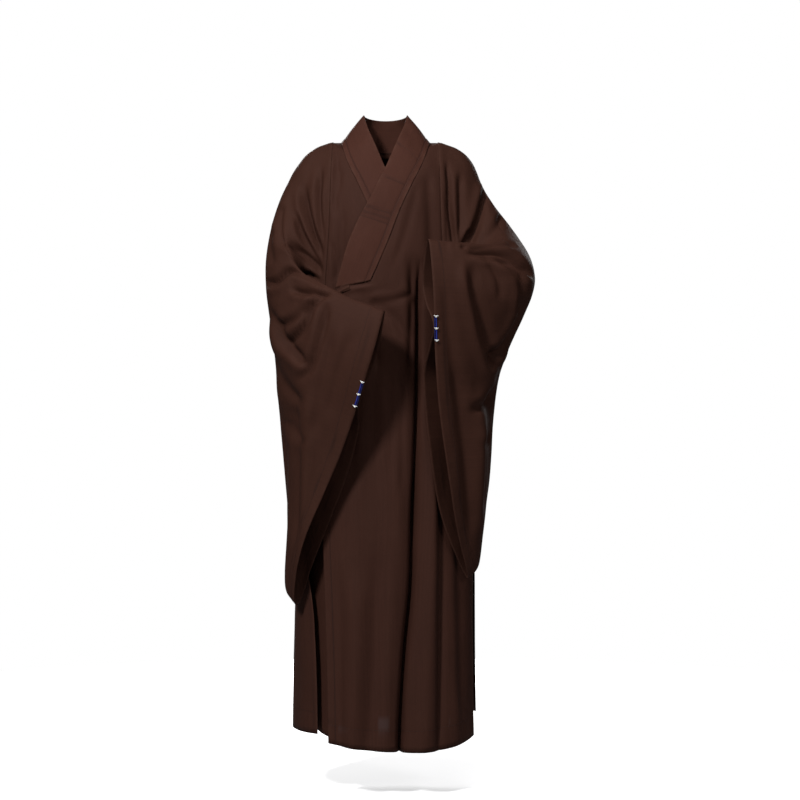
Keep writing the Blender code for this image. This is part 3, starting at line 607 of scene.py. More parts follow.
def sampleLine(points, normals, spacing):
    knots = walked(points)
    count = max(int(knots[-1] / spacing), 2)
    at = (np.arange(count) + 0.5) * knots[-1] / count
    along = unit(readAt(at + 0.0008, knots, points) - readAt(at - 0.0008, knots, points))
    up = readAt(at, knots, normals)
    up = unit(up - along * np.sum(up * along, axis=1, keepdims=True))
    return readAt(at, knots, points), along, up


# Small rounded stitches whose ends dip into the cloth
def stitchMesh(name, runs, material, spacing=0.0040, length=0.0028, thick=0.00055, lift=0.0006):
    verts, faces = [], []
    ring = [(math.cos(a), math.sin(a)) for a in np.linspace(0, 2 * math.pi, 7)[:-1]]
    for points, normals in runs:
        place, along, up = sampleLine(np.asarray(points), np.asarray(normals), spacing)
        wide = np.cross(along, up)
        for p, f, u, w in zip(place, along, up, wide):
            first = len(verts)
            centre = p + u * lift
            verts.append(centre - f * length / 2 - u * thick)
            for share in (-0.34, 0.34):
                for cosine, sine in ring:
                    verts.append(centre + f * length * share + (w * cosine + u * sine * 0.7) * thick * 0.85)
            verts.append(centre + f * length / 2 - u * thick)
            for s in range(6):
                n = (s + 1) % 6
                faces.append((first, first + 1 + n, first + 1 + s))
                faces.append((first + 1 + s, first + 1 + n, first + 7 + n, first + 7 + s))
                faces.append((first + 7 + s, first + 7 + n, first + 13))
    return linkMesh(name, verts, faces, material)


def runAlongRow(grid, normals, row, first=0.0, last=None):
    last = grid.shape[1] - 1.0 if last is None else last
    at = np.linspace(first, last, 240)
    return pointAt(grid, row + 0 * at, at), pointAt(normals, row + 0 * at, at)


def runAlongColumn(grid, normals, column, first=0.0, last=None):
    last = grid.shape[0] - 1.0 if last is None else last
    at = np.linspace(first, last, 320)
    return pointAt(grid, at, column + 0 * at), pointAt(normals, at, column + 0 * at)


# Front panels

neckband = [                   # outer x, outer z, inner x, inner y, inner z, lie
    (93, 0, 46, 2, 59, 0.0),
    (88, -22, 38, -26, 30, 0.0),
    (77, -54, 24, -60, -4, 0.1),
    (62, -85, 4, -88, -53, 0.8),
    (48, -115, -14, -98, -92, 1.0),
    (30, -155, -36, -100, -136, 1.0),
    (12, -203, -58, -100, -178, 1.0),
    (-8, -252, -80, -100, -230, 1.0),
    (-31, -303, -104, -100, -318, 1.0),
]

overFront = {
    "edge": [(-31, -303), (-67, -310), (-104, -318), (-116, -350), (-119, -430), (-128, -520), (-132, -640),
             (-128, -850), (-121, -1050), (-116, -1266)],
    "refine": (5, 6),
    "slack": (0.045, 0.0016),
    "heldRows": (form["armholeRows"] + 2, form["bandRows"]),     # held flat beside side and free edge
    "rolledRows": (form["armholeRows"] + 4, form["bandRows"]),
    "lapBelow": -0.33,
    "folds": [                 # points x, z; half width; depth; lean; steep
        ([(72, -255), (72, -420), (71, -552), (66, -740)], 13, 7, 0.10, 1.4),
        ([(69, -600), (62, -787), (57, -953), (45, -1065), (37, -1175), (31, -1420)], 18, 13, 0.10, 1.4),
        ([(72, -256), (73, -420), (71, -552), (66, -700), (62, -860)], 4.5, 18, 0.0, 1.3),
        ([(68, -640), (62, -787), (57, -953), (45, -1065), (37, -1175), (31, -1620)], 5, 30, 0.0, 1.35),
        ([(100, -560), (92, -980), (76, -1400)], 18, -11, 0.0),
        ([(112, -620), (114, -900), (112, -1360)], 8, 9, 0.35, 0.8),
        ([(136, -560), (142, -860), (150, -1340)], 12, -6, 0.0),
        ([(9, -470), (12, -590), (14, -720)], 10, 3, 0.3),
        ([(30, -480), (34, -620), (36, -760)], 8, 3, 0.3),
        ([(-14, -840), (-20, -1050), (-34, -1340)], 18, 8, 0.25),
        ([(-58, -900), (-62, -1100), (-70, -1340)], 20, -7, 0.0),
        ([(-100, -880), (-97, -1100), (-92, -1340)], 13, 5, 0.2),
        ([(-108, -321), (-89, -317), (-58, -312), (-28, -306)], 4, 2.4, 0.3),
        ([(-104, -338), (-62, -330), (-20, -334)], 7, 2.2, 0.4),
        ([(-70, -340), (-30, -352), (14, -376), (56, -440)], 10, 5, 0.45),
        ([(-96, -350), (-60, -372), (-30, -420), (-14, -500)], 10, 4.5, 0.45),
        ([(60, -330), (20, -344), (-40, -352)], 8, 3, 0.4),
        ([(-104, -360), (-92, -430), (-86, -520)], 8, 4, 0.45),
        ([(52, -250), (56, -330), (54, -420), (48, -520)], 7, 5, 0.40),
        ([(88, -60), (95, -160), (100, -262)], 12, 5, 0.2),
        ([(74, -80), (46, -190), (14, -286)], 9, 2.0, 0.4),
        ([(-60, -420), (-66, -560), (-72, -760)], 13, 3.0, 0.3),
        ([(-16, -430), (-22, -600), (-16, -800)], 15, 2.6, 0.3),
        ([(120, -470), (126, -700), (138, -960)], 14, 5, 0.2),
        ([(150, -640), (152, -900), (156, -1240)], 13, 6, 0.2),
    ],
}

underFront = {
    "edge": [(31, -303), (30, -380), (26, -500), (18, -700), (6, -1000), (-8, -1262)],
    "refine": (5, 8),
    "slack": (0.045, 0.0016),
    "heldRows": (form["armholeRows"] + 2, form["bandRows"]),
    "rolledRows": (form["armholeRows"] + 4, form["bandRows"]),
    "lapBelow": -0.33,
    "folds": [
        ([(-100, -40), (-108, -90), (-112, -150)], 7, 4, 0.4),
        ([(-92, -58), (-101, -111), (-108, -170)], 7, 3, 0.4),
        ([(-115, -215), (-107, -253), (-103, -286), (-106, -306)], 6, 4, 0.4),
        ([(-86, -150), (-92, -220), (-98, -290)], 9, 2.4, 0.3),
        ([(-60, -700), (-66, -1000), (-70, -1340)], 22, 8, 0.2),
    ],
}


def bandRows():
    table = np.asarray(neckband, float) * [mm, mm, mm, mm, mm, 1.0]
    return walkTable(table, form["bandRows"] + 1)


def underLift(row):
    chest = form["underLift"] * smoothStep(row / 5.0)
    pleat = form["pleatLift"] * smoothStep((row - 8.0) / 5.0)
    skirt = form["skirtLift"] * smoothStep((row - form["bandRows"]) / 6.0)
    return chest + pleat + skirt


def frontGrid(side, edge, columns):
    heights = rowHeights()
    rows = len(heights)
    free = walkTable(np.asarray(edge, float) * mm, rows - form["bandRows"])
    band = bandRows()
    over = side > 0
    freeX = np.concatenate([side * band[:, 0], free[1:, 0]])
    freeZ = np.concatenate([band[:, 1], free[1:, 1]])
    vents = np.asarray(ventTable, float)
    vent = curveAt(vents[::-1, 0] * mm, vents[::-1, 1 if over else 2], heights)
    armhole = armholeTurn(heights) if over else 180.0 - armholeTurn(heights)
    sideTurn = np.where(heights > form["ventTop"], armhole, vent)
    if not over:
        sideTurn = np.where((heights <= form["underarm"]) & (heights > form["ventTop"]), 180.0, sideTurn)
    share = np.linspace(0.0, 1.0, columns + 1)[None, :]
    turn = sideTurn[:, None] * (1.0 - share) + turnOfX(freeX, freeZ)[:, None] * share
    height = heights[:, None] * (1.0 - share) + freeZ[:, None] * share
    skirt = np.clip((form["underarm"] - heights) / (form["underarm"] - form["hem"]), 0.0, 1.0)
    height = height - form["hemSag"] * np.sin(np.pi * share) * skirt[:, None] ** 3
    if not over:
        height = height + form["underHemRise"] * (1.0 - share) * skirt[:, None] ** 3
    row = np.arange(rows)[:, None] + 0.0 * share
    if over:
        x = bodyPoint(turn, height)[..., 0]
        lapX, lapZ = form["lapFrom"]
        fade = form["lapFade"]
        lift = form["lapLift"] * smoothStep((lapX - x) / fade) * smoothStep((lapZ - height) / fade)
    else:
        held = smoothStep((row - form["armholeRows"] - 3.0) / 3.0)
        lift = underLift(row) * np.maximum(smoothStep(share / 0.35), held)
    normal = bodyNormal(turn, height)
    return bodyPoint(turn, height) + normal * lift[..., None], normal


def holdEdges(grid, rowTimes, sideRows, freeRows):   # weight that keeps folds off sewn edges
    rows, columns = grid.shape[:2]
    row = np.arange(rows)[:, None] / rowTimes
    share = np.arange(columns)[None, :] / (columns - 1.0)
    keep = smoothStep(row / 3.0) + 0.0 * share
    keep = np.where(row <= sideRows, keep * smoothStep(share / sewing["flatShare"]), keep)
    return np.where(row <= freeRows, keep * smoothStep((1.0 - share) / sewing["flatShare"]), keep)


def hemSeam(grid, up, wide=0.0011):   # a pressed line at the given distance above the lower edge
    down = walked(grid, 0)
    return np.exp(-(((down[-1:] - down - up) / wide) ** 2))


def fromSide(grid, first):     # metres in from the first or the last column
    side = walked(grid, 1)
    return side if first else side[:, -1:] - side


def sideSeam(grid, inFrom, first):
    return np.exp(-(((fromSide(grid, first) - inFrom) / sewing["lineWide"]) ** 2))


def sewnRoll(grid, keepRows, first):   # a sewn edge turns in a little, so that two panels meet in a groove
    rolled = np.exp(-((fromSide(grid, first) / sewing["turnedWide"]) ** 2))
    return sewing["turnedIn"] * rolled * (np.arange(grid.shape[0])[:, None] <= keepRows)


def nearBox(grid, low, high, soft=0.004):   # 1 inside a box of the front view, fading at its rim
    x, z = grid[..., 0], grid[..., 2]
    across = smoothStep((x - low[0] * mm) / soft) * smoothStep((high[0] * mm - x) / soft)
    return across * smoothStep((z - low[1] * mm) / soft) * smoothStep((high[1] * mm - z) / soft)


def foldPanel(coarse, coarseNormal, panel, facing):   # facing is -1 for a front and 1 for the back
    rowTimes, columnTimes = panel["refine"]
    grid = refine(coarse, rowTimes, columnTimes)
    plain = unit(refine(coarseNormal, rowTimes, columnTimes, points=coarse))
    keep = holdEdges(grid, rowTimes, *panel["heldRows"])
    shown = smoothStep(facing * plain[..., 1] / sewing["faceOn"])
    depth = foldDepth(panel["folds"], grid[..., 0], grid[..., 2]) * shown * keep
    depth += softWaves(grid, *panel["slack"]) * keep
    for first, rows in zip((True, False), panel["rolledRows"]):
        depth += sewnRoll(grid, rows * rowTimes, first)
    grid = grid - plain * depth[..., None]
    return grid, gridNormals(grid, False, plain)


def makeFront(name, side, panel, columns, lightThroughPatches=()):
    grid, normals = foldPanel(*frontGrid(side, panel["edge"], columns), panel, -1)
    vents = sideSeam(grid, sewing["ventIn"], True) * (grid[..., 2] < form["ventTop"])
    lap = sideSeam(grid, sewing["lapIn"], False) * (grid[..., 2] < panel["lapBelow"])
    seam = np.maximum(np.maximum(hemSeam(grid, sewing["hemUp"]), vents), lap)
    grid = grid - normals * (seam * sewing["pressed"])[..., None]
    lightThrough = np.zeros(grid.shape[:2])
    for low, high, strength in lightThroughPatches:
        lightThrough = np.maximum(lightThrough, nearBox(grid, low, high) * strength)
    marks = {"seam": seam, "lightThrough": lightThrough}
    piece = clothPiece(name, grid, normals, form["clothThick"], robeCrepe, marks=marks)
    return piece, grid, normals


def hemRun(grid, normals, up):   # stitches a distance above the lower edge
    knots = rowKnots(grid)
    return runAlongRow(grid, normals, np.interp(knots[-1] - up, knots, np.arange(len(knots))))


def sideRun(grid, normals, inFrom, first, fromRow):
    knots = walked(grid[-1] if first else grid[-1, ::-1])
    place = np.interp(inFrom, knots, np.arange(grid.shape[1]))
    return runAlongColumn(grid, normals, place if first else grid.shape[1] - 1 - place, fromRow)


# Painted light: pale patches at the hem where light shows through the single layer of cloth
lightThroughAtHem = [                  # corners x, z on the front view; strength
    ((-99, -1238), (-72, -1226), 0.55),
    ((-16, -1244), (10, -1207), 0.75),
    ((131, -1236), (137, -1218), 0.6),
]
overPiece, *over = makeFront("overFrontCloth", 1, overFront, form["overColumns"], lightThroughAtHem)
underPiece, *under = makeFront("underFrontCloth", -1, underFront, form["underColumns"])
settle(overPiece, "robe_cloth", "front_over")
settle(underPiece, "robe_cloth", "front_under")
print("robe: fronts made", len(overPiece.data.polygons), len(underPiece.data.polygons))

ventRow = int(np.argmax(over[0][:, 0, 2] < form["ventTop"]))
lapRow = form["bandRows"] * overFront["refine"][0] + 8
frontStitches = stitchMesh("frontHemStitches", [
    hemRun(*over, sewing["hemStitch"]),
    hemRun(*under, sewing["hemStitch"]),
    sideRun(*over, sewing["ventIn"], True, ventRow),
    sideRun(*over, sewing["lapIn"], False, lapRow),
    sideRun(*under, sewing["ventIn"], True, ventRow),
], brownThread)
settle(frontStitches, "robe_cloth")


# Back panel

backPanel = {
    "refine": (5, 6),
    "slack": (0.05, 0.0018),
    "heldRows": (form["armholeRows"] + 4, form["armholeRows"] + 4),
    "rolledRows": (form["armholeRows"] + 4, form["armholeRows"] + 4),
    "centreBelow": -0.05,
    "folds": [
        ([(0, -70), (0, -600), (0, -1340)], 3, 2.2, 0.2),       # centre back seam
        ([(-78, -90), (-70, -250), (-60, -420)], 14, 6, 0.3),
        ([(82, -90), (72, -280), (64, -450)], 15, 7, 0.3),
        ([(-36, -140), (-24, -300), (-30, -470)], 16, 4, 0.3),
        ([(34, -120), (30, -260), (20, -430)], 15, 3.5, 0.3),
        ([(-48, -560), (-58, -900), (-66, -1340)], 20, 12, 0.2),
        ([(-108, -620), (-116, -960), (-122, -1340)], 20, -10, 0.0),
        ([(52, -520), (50, -900), (44, -1340)], 21, 13, 0.2),
        ([(98, -600), (104, -980), (112, -1340)], 20, -9, 0.0),
        ([(142, -700), (146, -1000), (150, -1340)], 15, 8, 0.2),
        ([(-150, -760), (-154, -1040), (-158, -1340)], 15, 8, 0.2),
        ([(-20, -640), (-26, -960), (-18, -1300)], 12, 4, 0.4),
        ([(78, -760), (76, -1000), (82, -1340)], 10, 4, 0.4),
        ([(-96, -420), (-112, -560), (-104, -760)], 13, 5, 0.3),
        ([(112, -430), (118, -600), (110, -780)], 13, 5, 0.3),
    ],
}


def neckTurns():
    angles = np.linspace(0.0, math.pi, form["neckSteps"] + 1)
    return np.cos(angles), np.sin(angles)


def neckLine():
    across, back = neckTurns()
    x = neckband[0][0] * mm * across
    y = form["bodyCentre"] + (form["neckDepth"] - form["bodyCentre"]) * back
    halfWidth, _, depth, _ = bodySizes(np.zeros_like(x))
    share = (1.0 - np.abs(x / halfWidth) ** form["squareness"]) ** (1.0 / form["squareness"])
    dome = np.clip((y - form["bodyCentre"]) / (depth * share), 0.0, 0.999)
    z = -form["domeHeight"] * (1.0 - np.sqrt(1.0 - dome**2))
    return np.stack([x, y, z], axis=-1)


def backGrid():
    heights = rowHeights()
    rows = len(heights)
    skirt = np.clip((form["underarm"] - heights) / (form["underarm"] - form["hem"]), 0.0, 1.0)
    neck = neckLine()
    shoulderX = np.linspace(bodyPoint(form["armholeTurn"], 0.0)[0], neckband[0][0] * mm,
                            form["shoulderSteps"] + 1)[:-1]
    topX = np.concatenate([shoulderX, neck[:, 0], -shoulderX[::-1]])
    topZ = np.concatenate([0 * shoulderX, neck[:, 2], 0 * shoulderX])
    topTurn = 360.0 - turnOfX(topX, 0.0 * topX)
    vents = np.asarray(ventTable, float)
    knots = vents[::-1, 0] * mm
    slit = heights <= form["ventTop"]
    left = np.where(slit, curveAt(knots, vents[::-1, 4], heights), 360.0 - armholeTurn(heights))
    right = np.where(slit, curveAt(knots, vents[::-1, 3], heights), 180.0 + armholeTurn(heights))
    share = np.linspace(0.0, 1.0, len(topX))[None, :]
    even = left[:, None] * (1.0 - share) + right[:, None] * share
    blend = smoothStep(np.arange(rows) / form["neckBlendRows"])[:, None]
    turn = topTurn[None, :] * (1.0 - blend) + even * blend
    fade = np.clip(1.0 + heights / form["neckFade"], 0.0, 1.0)[:, None]
    hemRise = form["backHem"] - form["hem"] + form["backHemRise"] * (1.0 - share) ** 2
    height = heights[:, None] + topZ[None, :] * fade + hemRise * skirt[:, None] ** 2
    return bodyPoint(turn, height), bodyNormal(turn, height)


back = foldPanel(*backGrid(), backPanel, 1)
backX, backZ = back[0][..., 0], back[0][..., 2]
centreSeam = np.exp(-((backX / sewing["lineWide"]) ** 2)) * (backZ < backPanel["centreBelow"])
seam = np.maximum(hemSeam(back[0], sewing["hemUp"]), centreSeam)
for first in (True, False):
    seam = np.maximum(seam, sideSeam(back[0], sewing["ventIn"], first) * (backZ < form["ventTop"]))
backPiece = clothPiece("backCloth", *back, form["clothThick"], robeCrepe, marks={"seam": seam})
settle(backPiece, "robe_cloth", "back")
ventRow = int(np.argmax(backZ[:, 0] < form["ventTop"]))
backRuns = [hemRun(*back, sewing["hemStitch"])]
backRuns += [sideRun(*back, sewing["ventIn"], first, ventRow) for first in (True, False)]
backStitches = stitchMesh("backHemStitches", backRuns, brownThread)
settle(backStitches, "robe_cloth")
print("robe: back made", len(backPiece.data.polygons))


# Sleeves

sleeveColumns = (
    "topOut topY topZ lowOut lowY lowZ faceTop faceLow "
    "outerHigh outerMid outerLow innerHigh innerMid innerLow hang"
).split()

sleeveForm = {
    "guideDrops": (0.14, 0.45, 0.80),
    "lap": 0.0022,
    "armholeLap": 0.002,       # how far the sleeve's edge laps over the panels
    "armholeRoll": 0.0014,     # the sewn edge turns in to the body
    "slack": (0.05, 0.0018, 3.0),
    "clear": 0.012,            # least distance to the panels, below this height
    "clearBelow": -0.16,
    "clearFade": 0.10,
    "crookEnd": 13,
    "crookShare": (0.46, 0.98),
    "crookRounds": 24,
    "creaseRows": 12,
    "crookColumn": 27,
    "pinchFrom": 0.72,
    "pinchSpread": 0.075,
    "pinchGap": 0.0055,
    "refine": (7, 9, 9),       # rows, then columns of the outer and the inner face
}

rightSleeve = {
    "name": "rightSleeveCloth", "node": "sleeve_right", "side": -1, "tackDrop": 0.278,
    "rings": [
        (165, 0, -22, 194, 10, -600, 14, 12, 66, 88, 66, 92, 92, 66, 1.0),
        (203, -14, -82, 198, 0, -720, 28, 35, 40, 58, 32, 92, 78, 48, 1.0),
        (222, -55, -160, 198, -20, -820, 55, 62, 42, 28, 16, 56, 50, 26, 1.0),
        (186, -125, -272, 198, -42, -895, 100, 82, 42, 22, 12, 26, 32, 22, 1.0),
        (95, -190, -330, 208, -92, -950, 140, 126, 36, 30, 20, 40, 30, 26, 1.0),
        (1, -226, -372, 186, -98, -983, 180, 126, 30, 24, 42, 34, 32, 32, 1.15),
    ],
    "folds": [
        # crook of the elbow and the pocket under it
        ([(-266, -300), (-238, -304), (-197, -279), (-166, -285), (-131, -304), (-106, -326)],
         8, 17, 0.35, 1.35),
        ([(-200, -322), (-172, -330), (-140, -334), (-106, -333)], 7, 12, 0.30, 0.8),
        ([(-219, -210), (-196, -226), (-172, -242), (-150, -264), (-131, -285), (-111, -316)],
         8, 15, 0.30, 1.25),
        ([(-190, -150), (-176, -196), (-156, -234), (-136, -270), (-116, -306)], 7.5, 12, 0.35, 1.2),
        ([(-172, -88), (-170, -130), (-160, -172), (-139, -228), (-120, -276), (-110, -310)],
         8, 14, 0.40, 1.2),
        ([(-98, -40), (-108, -90), (-118, -140), (-119, -180), (-113, -240), (-106, -300)], 7, 11, 0.30, 1.2),
        ([(-134, -50), (-140, -100), (-137, -160), (-127, -220), (-112, -290)], 6.5, 9, 0.35, 1.1),
        ([(-222, -130), (-224, -180), (-214, -236)], 10, 7, 0.30),
        ([(-244, -180), (-246, -226), (-238, -270)], 9, 6, 0.30),
        # drape below the elbow
        ([(-112, -336), (-130, -343), (-149, -358), (-160, -386), (-186, -423), (-210, -440)],
         7.5, 15, 0.45, 1.25),
        ([(-116, -348), (-125, -394), (-137, -443), (-155, -490), (-180, -520)], 8, 12, 0.45, 1.2),
        ([(-252, -352), (-232, -390), (-208, -432), (-182, -460), (-154, -488)], 9, 13, 0.45, 0.8),
        ([(-160, -356), (-178, -378), (-204, -392), (-232, -396)], 8, 8, 0.40),
        ([(-243, -452), (-222, -500), (-196, -540), (-166, -566)], 11, 9, 0.40, 0.8),
        ([(-243, -352), (-228, -430), (-216, -540)], 13, -6, 0.0),
        ([(-196, -520), (-188, -660), (-186, -860)], 15, 13, 0.30, 1.2),
        ([(-150, -520), (-160, -690), (-172, -880)], 15, -8, 0.0),
        ([(-228, -540), (-216, -700), (-212, -850)], 11, 9, 0.35),
        ([(-104, -400), (-128, -520), (-156, -650)], 12, 6, 0.40),
        ([(-60, -400), (-92, -486), (-124, -600)], 11, 5, 0.40),
        ([(-214, -590), (-190, -626), (-160, -646)], 9, 5, 0.45),
    ],
}

leftSleeve = {
    "name": "leftSleeveCloth", "node": "sleeve_left", "side": 1, "tackDrop": 0.262,
    "rings": [
        (172, 0, -25, 196, 10, -590, 14, 12, 66, 88, 66, 92, 92, 66, 1.0),
        (206, -14, -96, 202, 0, -710, 28, 40, 32, 54, 28, 92, 80, 48, 1.0),
        (244, -50, -182, 202, -20, -800, 58, 62, 82, 22, 14, 80, 58, 28, 1.0),
        (240, -118, -224, 200, -36, -865, 108, 105, 72, 14, 10, 56, 40, 18, 1.0),
        (165, -172, -228, 194, -82, -905, 142, 126, 40, 24, 16, 40, 30, 22, 1.2),
        (88, -196, -222, 172, -104, -925, 165, 130, 30, 26, 20, 34, 26, 22, 3.2),
    ],
    "folds": [
        # elbow fan
        ([(164, -250), (174, -250), (200, -246), (224, -244), (269, -259), (293, -278), (316, -300)],
         7.5, 18, 0.35, 0.75),
        ([(168, -240), (205, -232), (256, -226), (280, -232)], 6, 8, 0.30, 0.9),
        ([(190, -254), (237, -262), (270, -276), (298, -312)], 7, 13, 0.40, 0.8),
        ([(180, -254), (212, -268), (232, -300), (240, -350)], 7, 6, 0.40, 0.8),
        ([(224, -258), (262, -282), (284, -320), (280, -372)], 8, 9, 0.40, 0.8),
        # upper arm
        ([(224, -84), (212, -128), (201, -166), (186, -206), (172, -244)], 8.5, 14, 0.35, 1.2),
        ([(128, -36), (134, -80), (136, -140), (142, -196), (146, -246)], 7, 13, 0.35, 1.2),
        ([(106, -40), (116, -90), (124, -140), (128, -200), (128, -250)], 6.5, 9, 0.35, 1.1),
        ([(158, -60), (160, -120), (160, -180), (158, -244)], 8, 8, 0.35),
        ([(252, -150), (236, -190), (214, -226)], 9, 8, 0.35),
        ([(180, -190), (170, -214), (160, -246)], 6, 9, 0.3),
        # drape below the elbow
        ([(158, -255), (161, -306), (174, -374), (192, -447), (216, -509), (240, -540)], 10, -10, 0.0),
        ([(180, -262), (186, -316), (203, -384), (222, -446), (246, -500)], 11, 11, 0.0, 1.2),
        ([(296, -330), (286, -380), (264, -424), (236, -456), (206, -476)], 9, 12, 0.40, 1.25),
        ([(262, -430), (252, -452), (236, -478), (212, -500)], 8, -7, 0.0),
        ([(256, -480), (238, -530), (206, -566), (172, -580)], 11, 9, 0.40, 1.2),
        ([(246, -590), (226, -630), (198, -656)], 10, 6, 0.40),
        ([(146, -470), (164, -640), (184, -860)], 15, 9, 0.25),
        ([(196, -560), (198, -700), (196, -860)], 13, -8, 0.0),
        ([(228, -500), (218, -640), (208, -820)], 11, 8, 0.35),
        ([(120, -300), (132, -420), (152, -560)], 12, 6, 0.40),
    ],
}

sleeveBackFolds = [
    ([(-150, -60), (-178, -190), (-196, -330)], 13, 7, 0.3),
    ([(-128, -80), (-136, -250), (-150, -420)], 11, 6, 0.3),
    ([(-206, -380), (-206, -540), (-196, -700)], 15, -7, 0.0),
    ([(-236, -230), (-222, -330), (-190, -420)], 11, 5, 0.4),
    ([(-186, -480), (-182, -640), (-188, -820)], 14, 5, 0.3),
    ([(150, -60), (184, -180), (205, -300)], 13, 7, 0.3),
    ([(128, -80), (136, -250), (150, -420)], 11, 6, 0.3),
    ([(214, -380), (212, -540), (200, -700)], 14, -7, 0.0),
    ([(284, -240), (256, -330), (214, -400)], 12, 6, 0.4),
    ([(188, -470), (186, -640), (190, -800)], 14, 5, 0.3),
]


def armholeRing(side):
    heights = armholeHeights()
    swing = armholeTurn(heights)
    backTurn, frontTurn = (360.0 - swing, swing) if side > 0 else (180.0 + swing, 180.0 - swing)
    ring = np.concatenate([bodyPoint(backTurn, heights), bodyPoint(frontTurn, heights)[-2:0:-1]])
    normal = np.concatenate([bodyNormal(backTurn, heights), bodyNormal(frontTurn, heights)[-2:0:-1]])
    return ring, normal


def closedLoop(guides, count):
    n = len(guides)
    at = np.arange(count) * n / count
    index = at.astype(int)
    t = (at - index)[:, None]
    p0, p1, p2, p3 = (guides[(index + shift) % n] for shift in (-1, 0, 1, 2))
    square = (2 * p0 - 5 * p1 + 4 * p2 - p3) * t**2
    return 0.5 * (2 * p1 + (p2 - p0) * t + square + (3 * p1 - p0 - 3 * p2 + p3) * t**3)


def sleeveGuides(row, side):
    cell = dict(zip(sleeveColumns, row))
    top = np.array([side * cell["topOut"], cell["topY"], cell["topZ"]]) * mm
    low = np.array([side * cell["lowOut"], cell["lowY"], cell["lowZ"]]) * mm
    outer, inner = [], []
    for drop, level in zip(sleeveForm["guideDrops"], ("High", "Mid", "Low")):
        share = np.array([drop ** cell["hang"], drop ** cell["hang"], drop])
        middle = top + (low - top) * share
        facing = math.radians(cell["faceTop"] + (cell["faceLow"] - cell["faceTop"]) * drop)
        out = np.array([side * math.sin(facing), math.cos(facing), 0.0])
        outer.append(middle + out * cell["outer" + level] * mm)
        inner.append(middle - out * cell["inner" + level] * mm)
    return np.array([top, *outer, low, *reversed(inner)])


def standClear(grid, clear):
    halfWidth, front, back, shift = bodySizes(np.minimum(grid[..., 2], 0.0))
    x = grid[..., 0] - shift
    y = grid[..., 1] - form["bodyCentre"]
    depth = np.where(y < 0, front, back)
    power = form["squareness"]
    level = (np.abs(x / halfWidth) ** power + np.abs(y / depth) ** power) ** (1.0 / power)
    least = 1.0 + clear / halfWidth
    held = 0.5 * (level + least + np.sqrt((level - least) ** 2 + 0.02**2))
    below = smoothStep((sleeveForm["clearBelow"] - grid[..., 2]) / sleeveForm["clearFade"])
    scale = 1.0 + (held / np.maximum(level, 0.2) - 1.0) * below * np.minimum(clear / sleeveForm["clear"], 1.0)
    grid[..., 0] = shift + x * scale
    grid[..., 1] = form["bodyCentre"] + y * scale


def relaxCrook(grid):
    rows = np.arange(len(grid))[:, None]
    column = np.arange(grid.shape[1])[None, :] / grid.shape[1]
    start, stop = sleeveForm["crookShare"]
    inner = smoothStep((column - start) / 0.06) * smoothStep((stop - column) / 0.06)
    weight = 0.5 * inner * smoothStep(rows / 2.0) * smoothStep((sleeveForm["crookEnd"] - rows) / 4.0)
    weight[0] = 0.0
    for _ in range(sleeveForm["crookRounds"]):
        along = (np.roll(grid, 1, axis=0) + np.roll(grid, -1, axis=0)) / 2.0
        around = (np.roll(grid, 1, axis=1) + np.roll(grid, -1, axis=1)) / 2.0
        grid += ((along + around) / 2.0 - grid) * weight[..., None]


def pinchMouth(grid, tackDrop):   # the tack draws the inner face of the mouth to the outer one
    count = grid.shape[1]
    half = count // 2
    start = sleeveForm["pinchFrom"]
    for r in range(len(grid)):
        reach = smoothStep((r / (len(grid) - 1.0) - start) / (1.0 - start))
        for k in range(1, half):
            outer = grid[r, k].copy()
            inner = grid[r, count - k].copy()
            drop = (grid[r, 0, 2] - outer[2]) / (grid[r, 0, 2] - grid[r, half, 2])
            pull = reach * math.exp(-(((drop - tackDrop) / sleeveForm["pinchSpread"]) ** 2))
            apart = inner - outer
            length = np.linalg.norm(apart)
            kept = sleeveForm["pinchGap"] / max(length, sleeveForm["pinchGap"])
            grid[r, count - k] = outer + apart * (1.0 - pull * (1.0 - kept))


def sleeveGrid(sleeve):
    side = sleeve["side"]
    count = 2 * form["armholeRows"]
    first, firstNormal = armholeRing(side)
    first = first + firstNormal * sleeveForm["lap"]
    rings = np.array([first] + [closedLoop(sleeveGuides(row, side), count) for row in sleeve["rings"]])
    knots = rowKnots(rings)
    at = knots[-1] * np.linspace(0.0, 1.0, form["sleeveRings"] + 1)
    grid = curveAt(knots, rings.reshape(len(rings), -1), at).reshape(len(at), count, 3)
    relaxCrook(grid)
    pinchMouth(grid, sleeve["tackDrop"])
    standClear(grid, sleeveForm["clear"] * smoothStep(np.arange(len(grid))[:, None] / 4.0))
    return grid


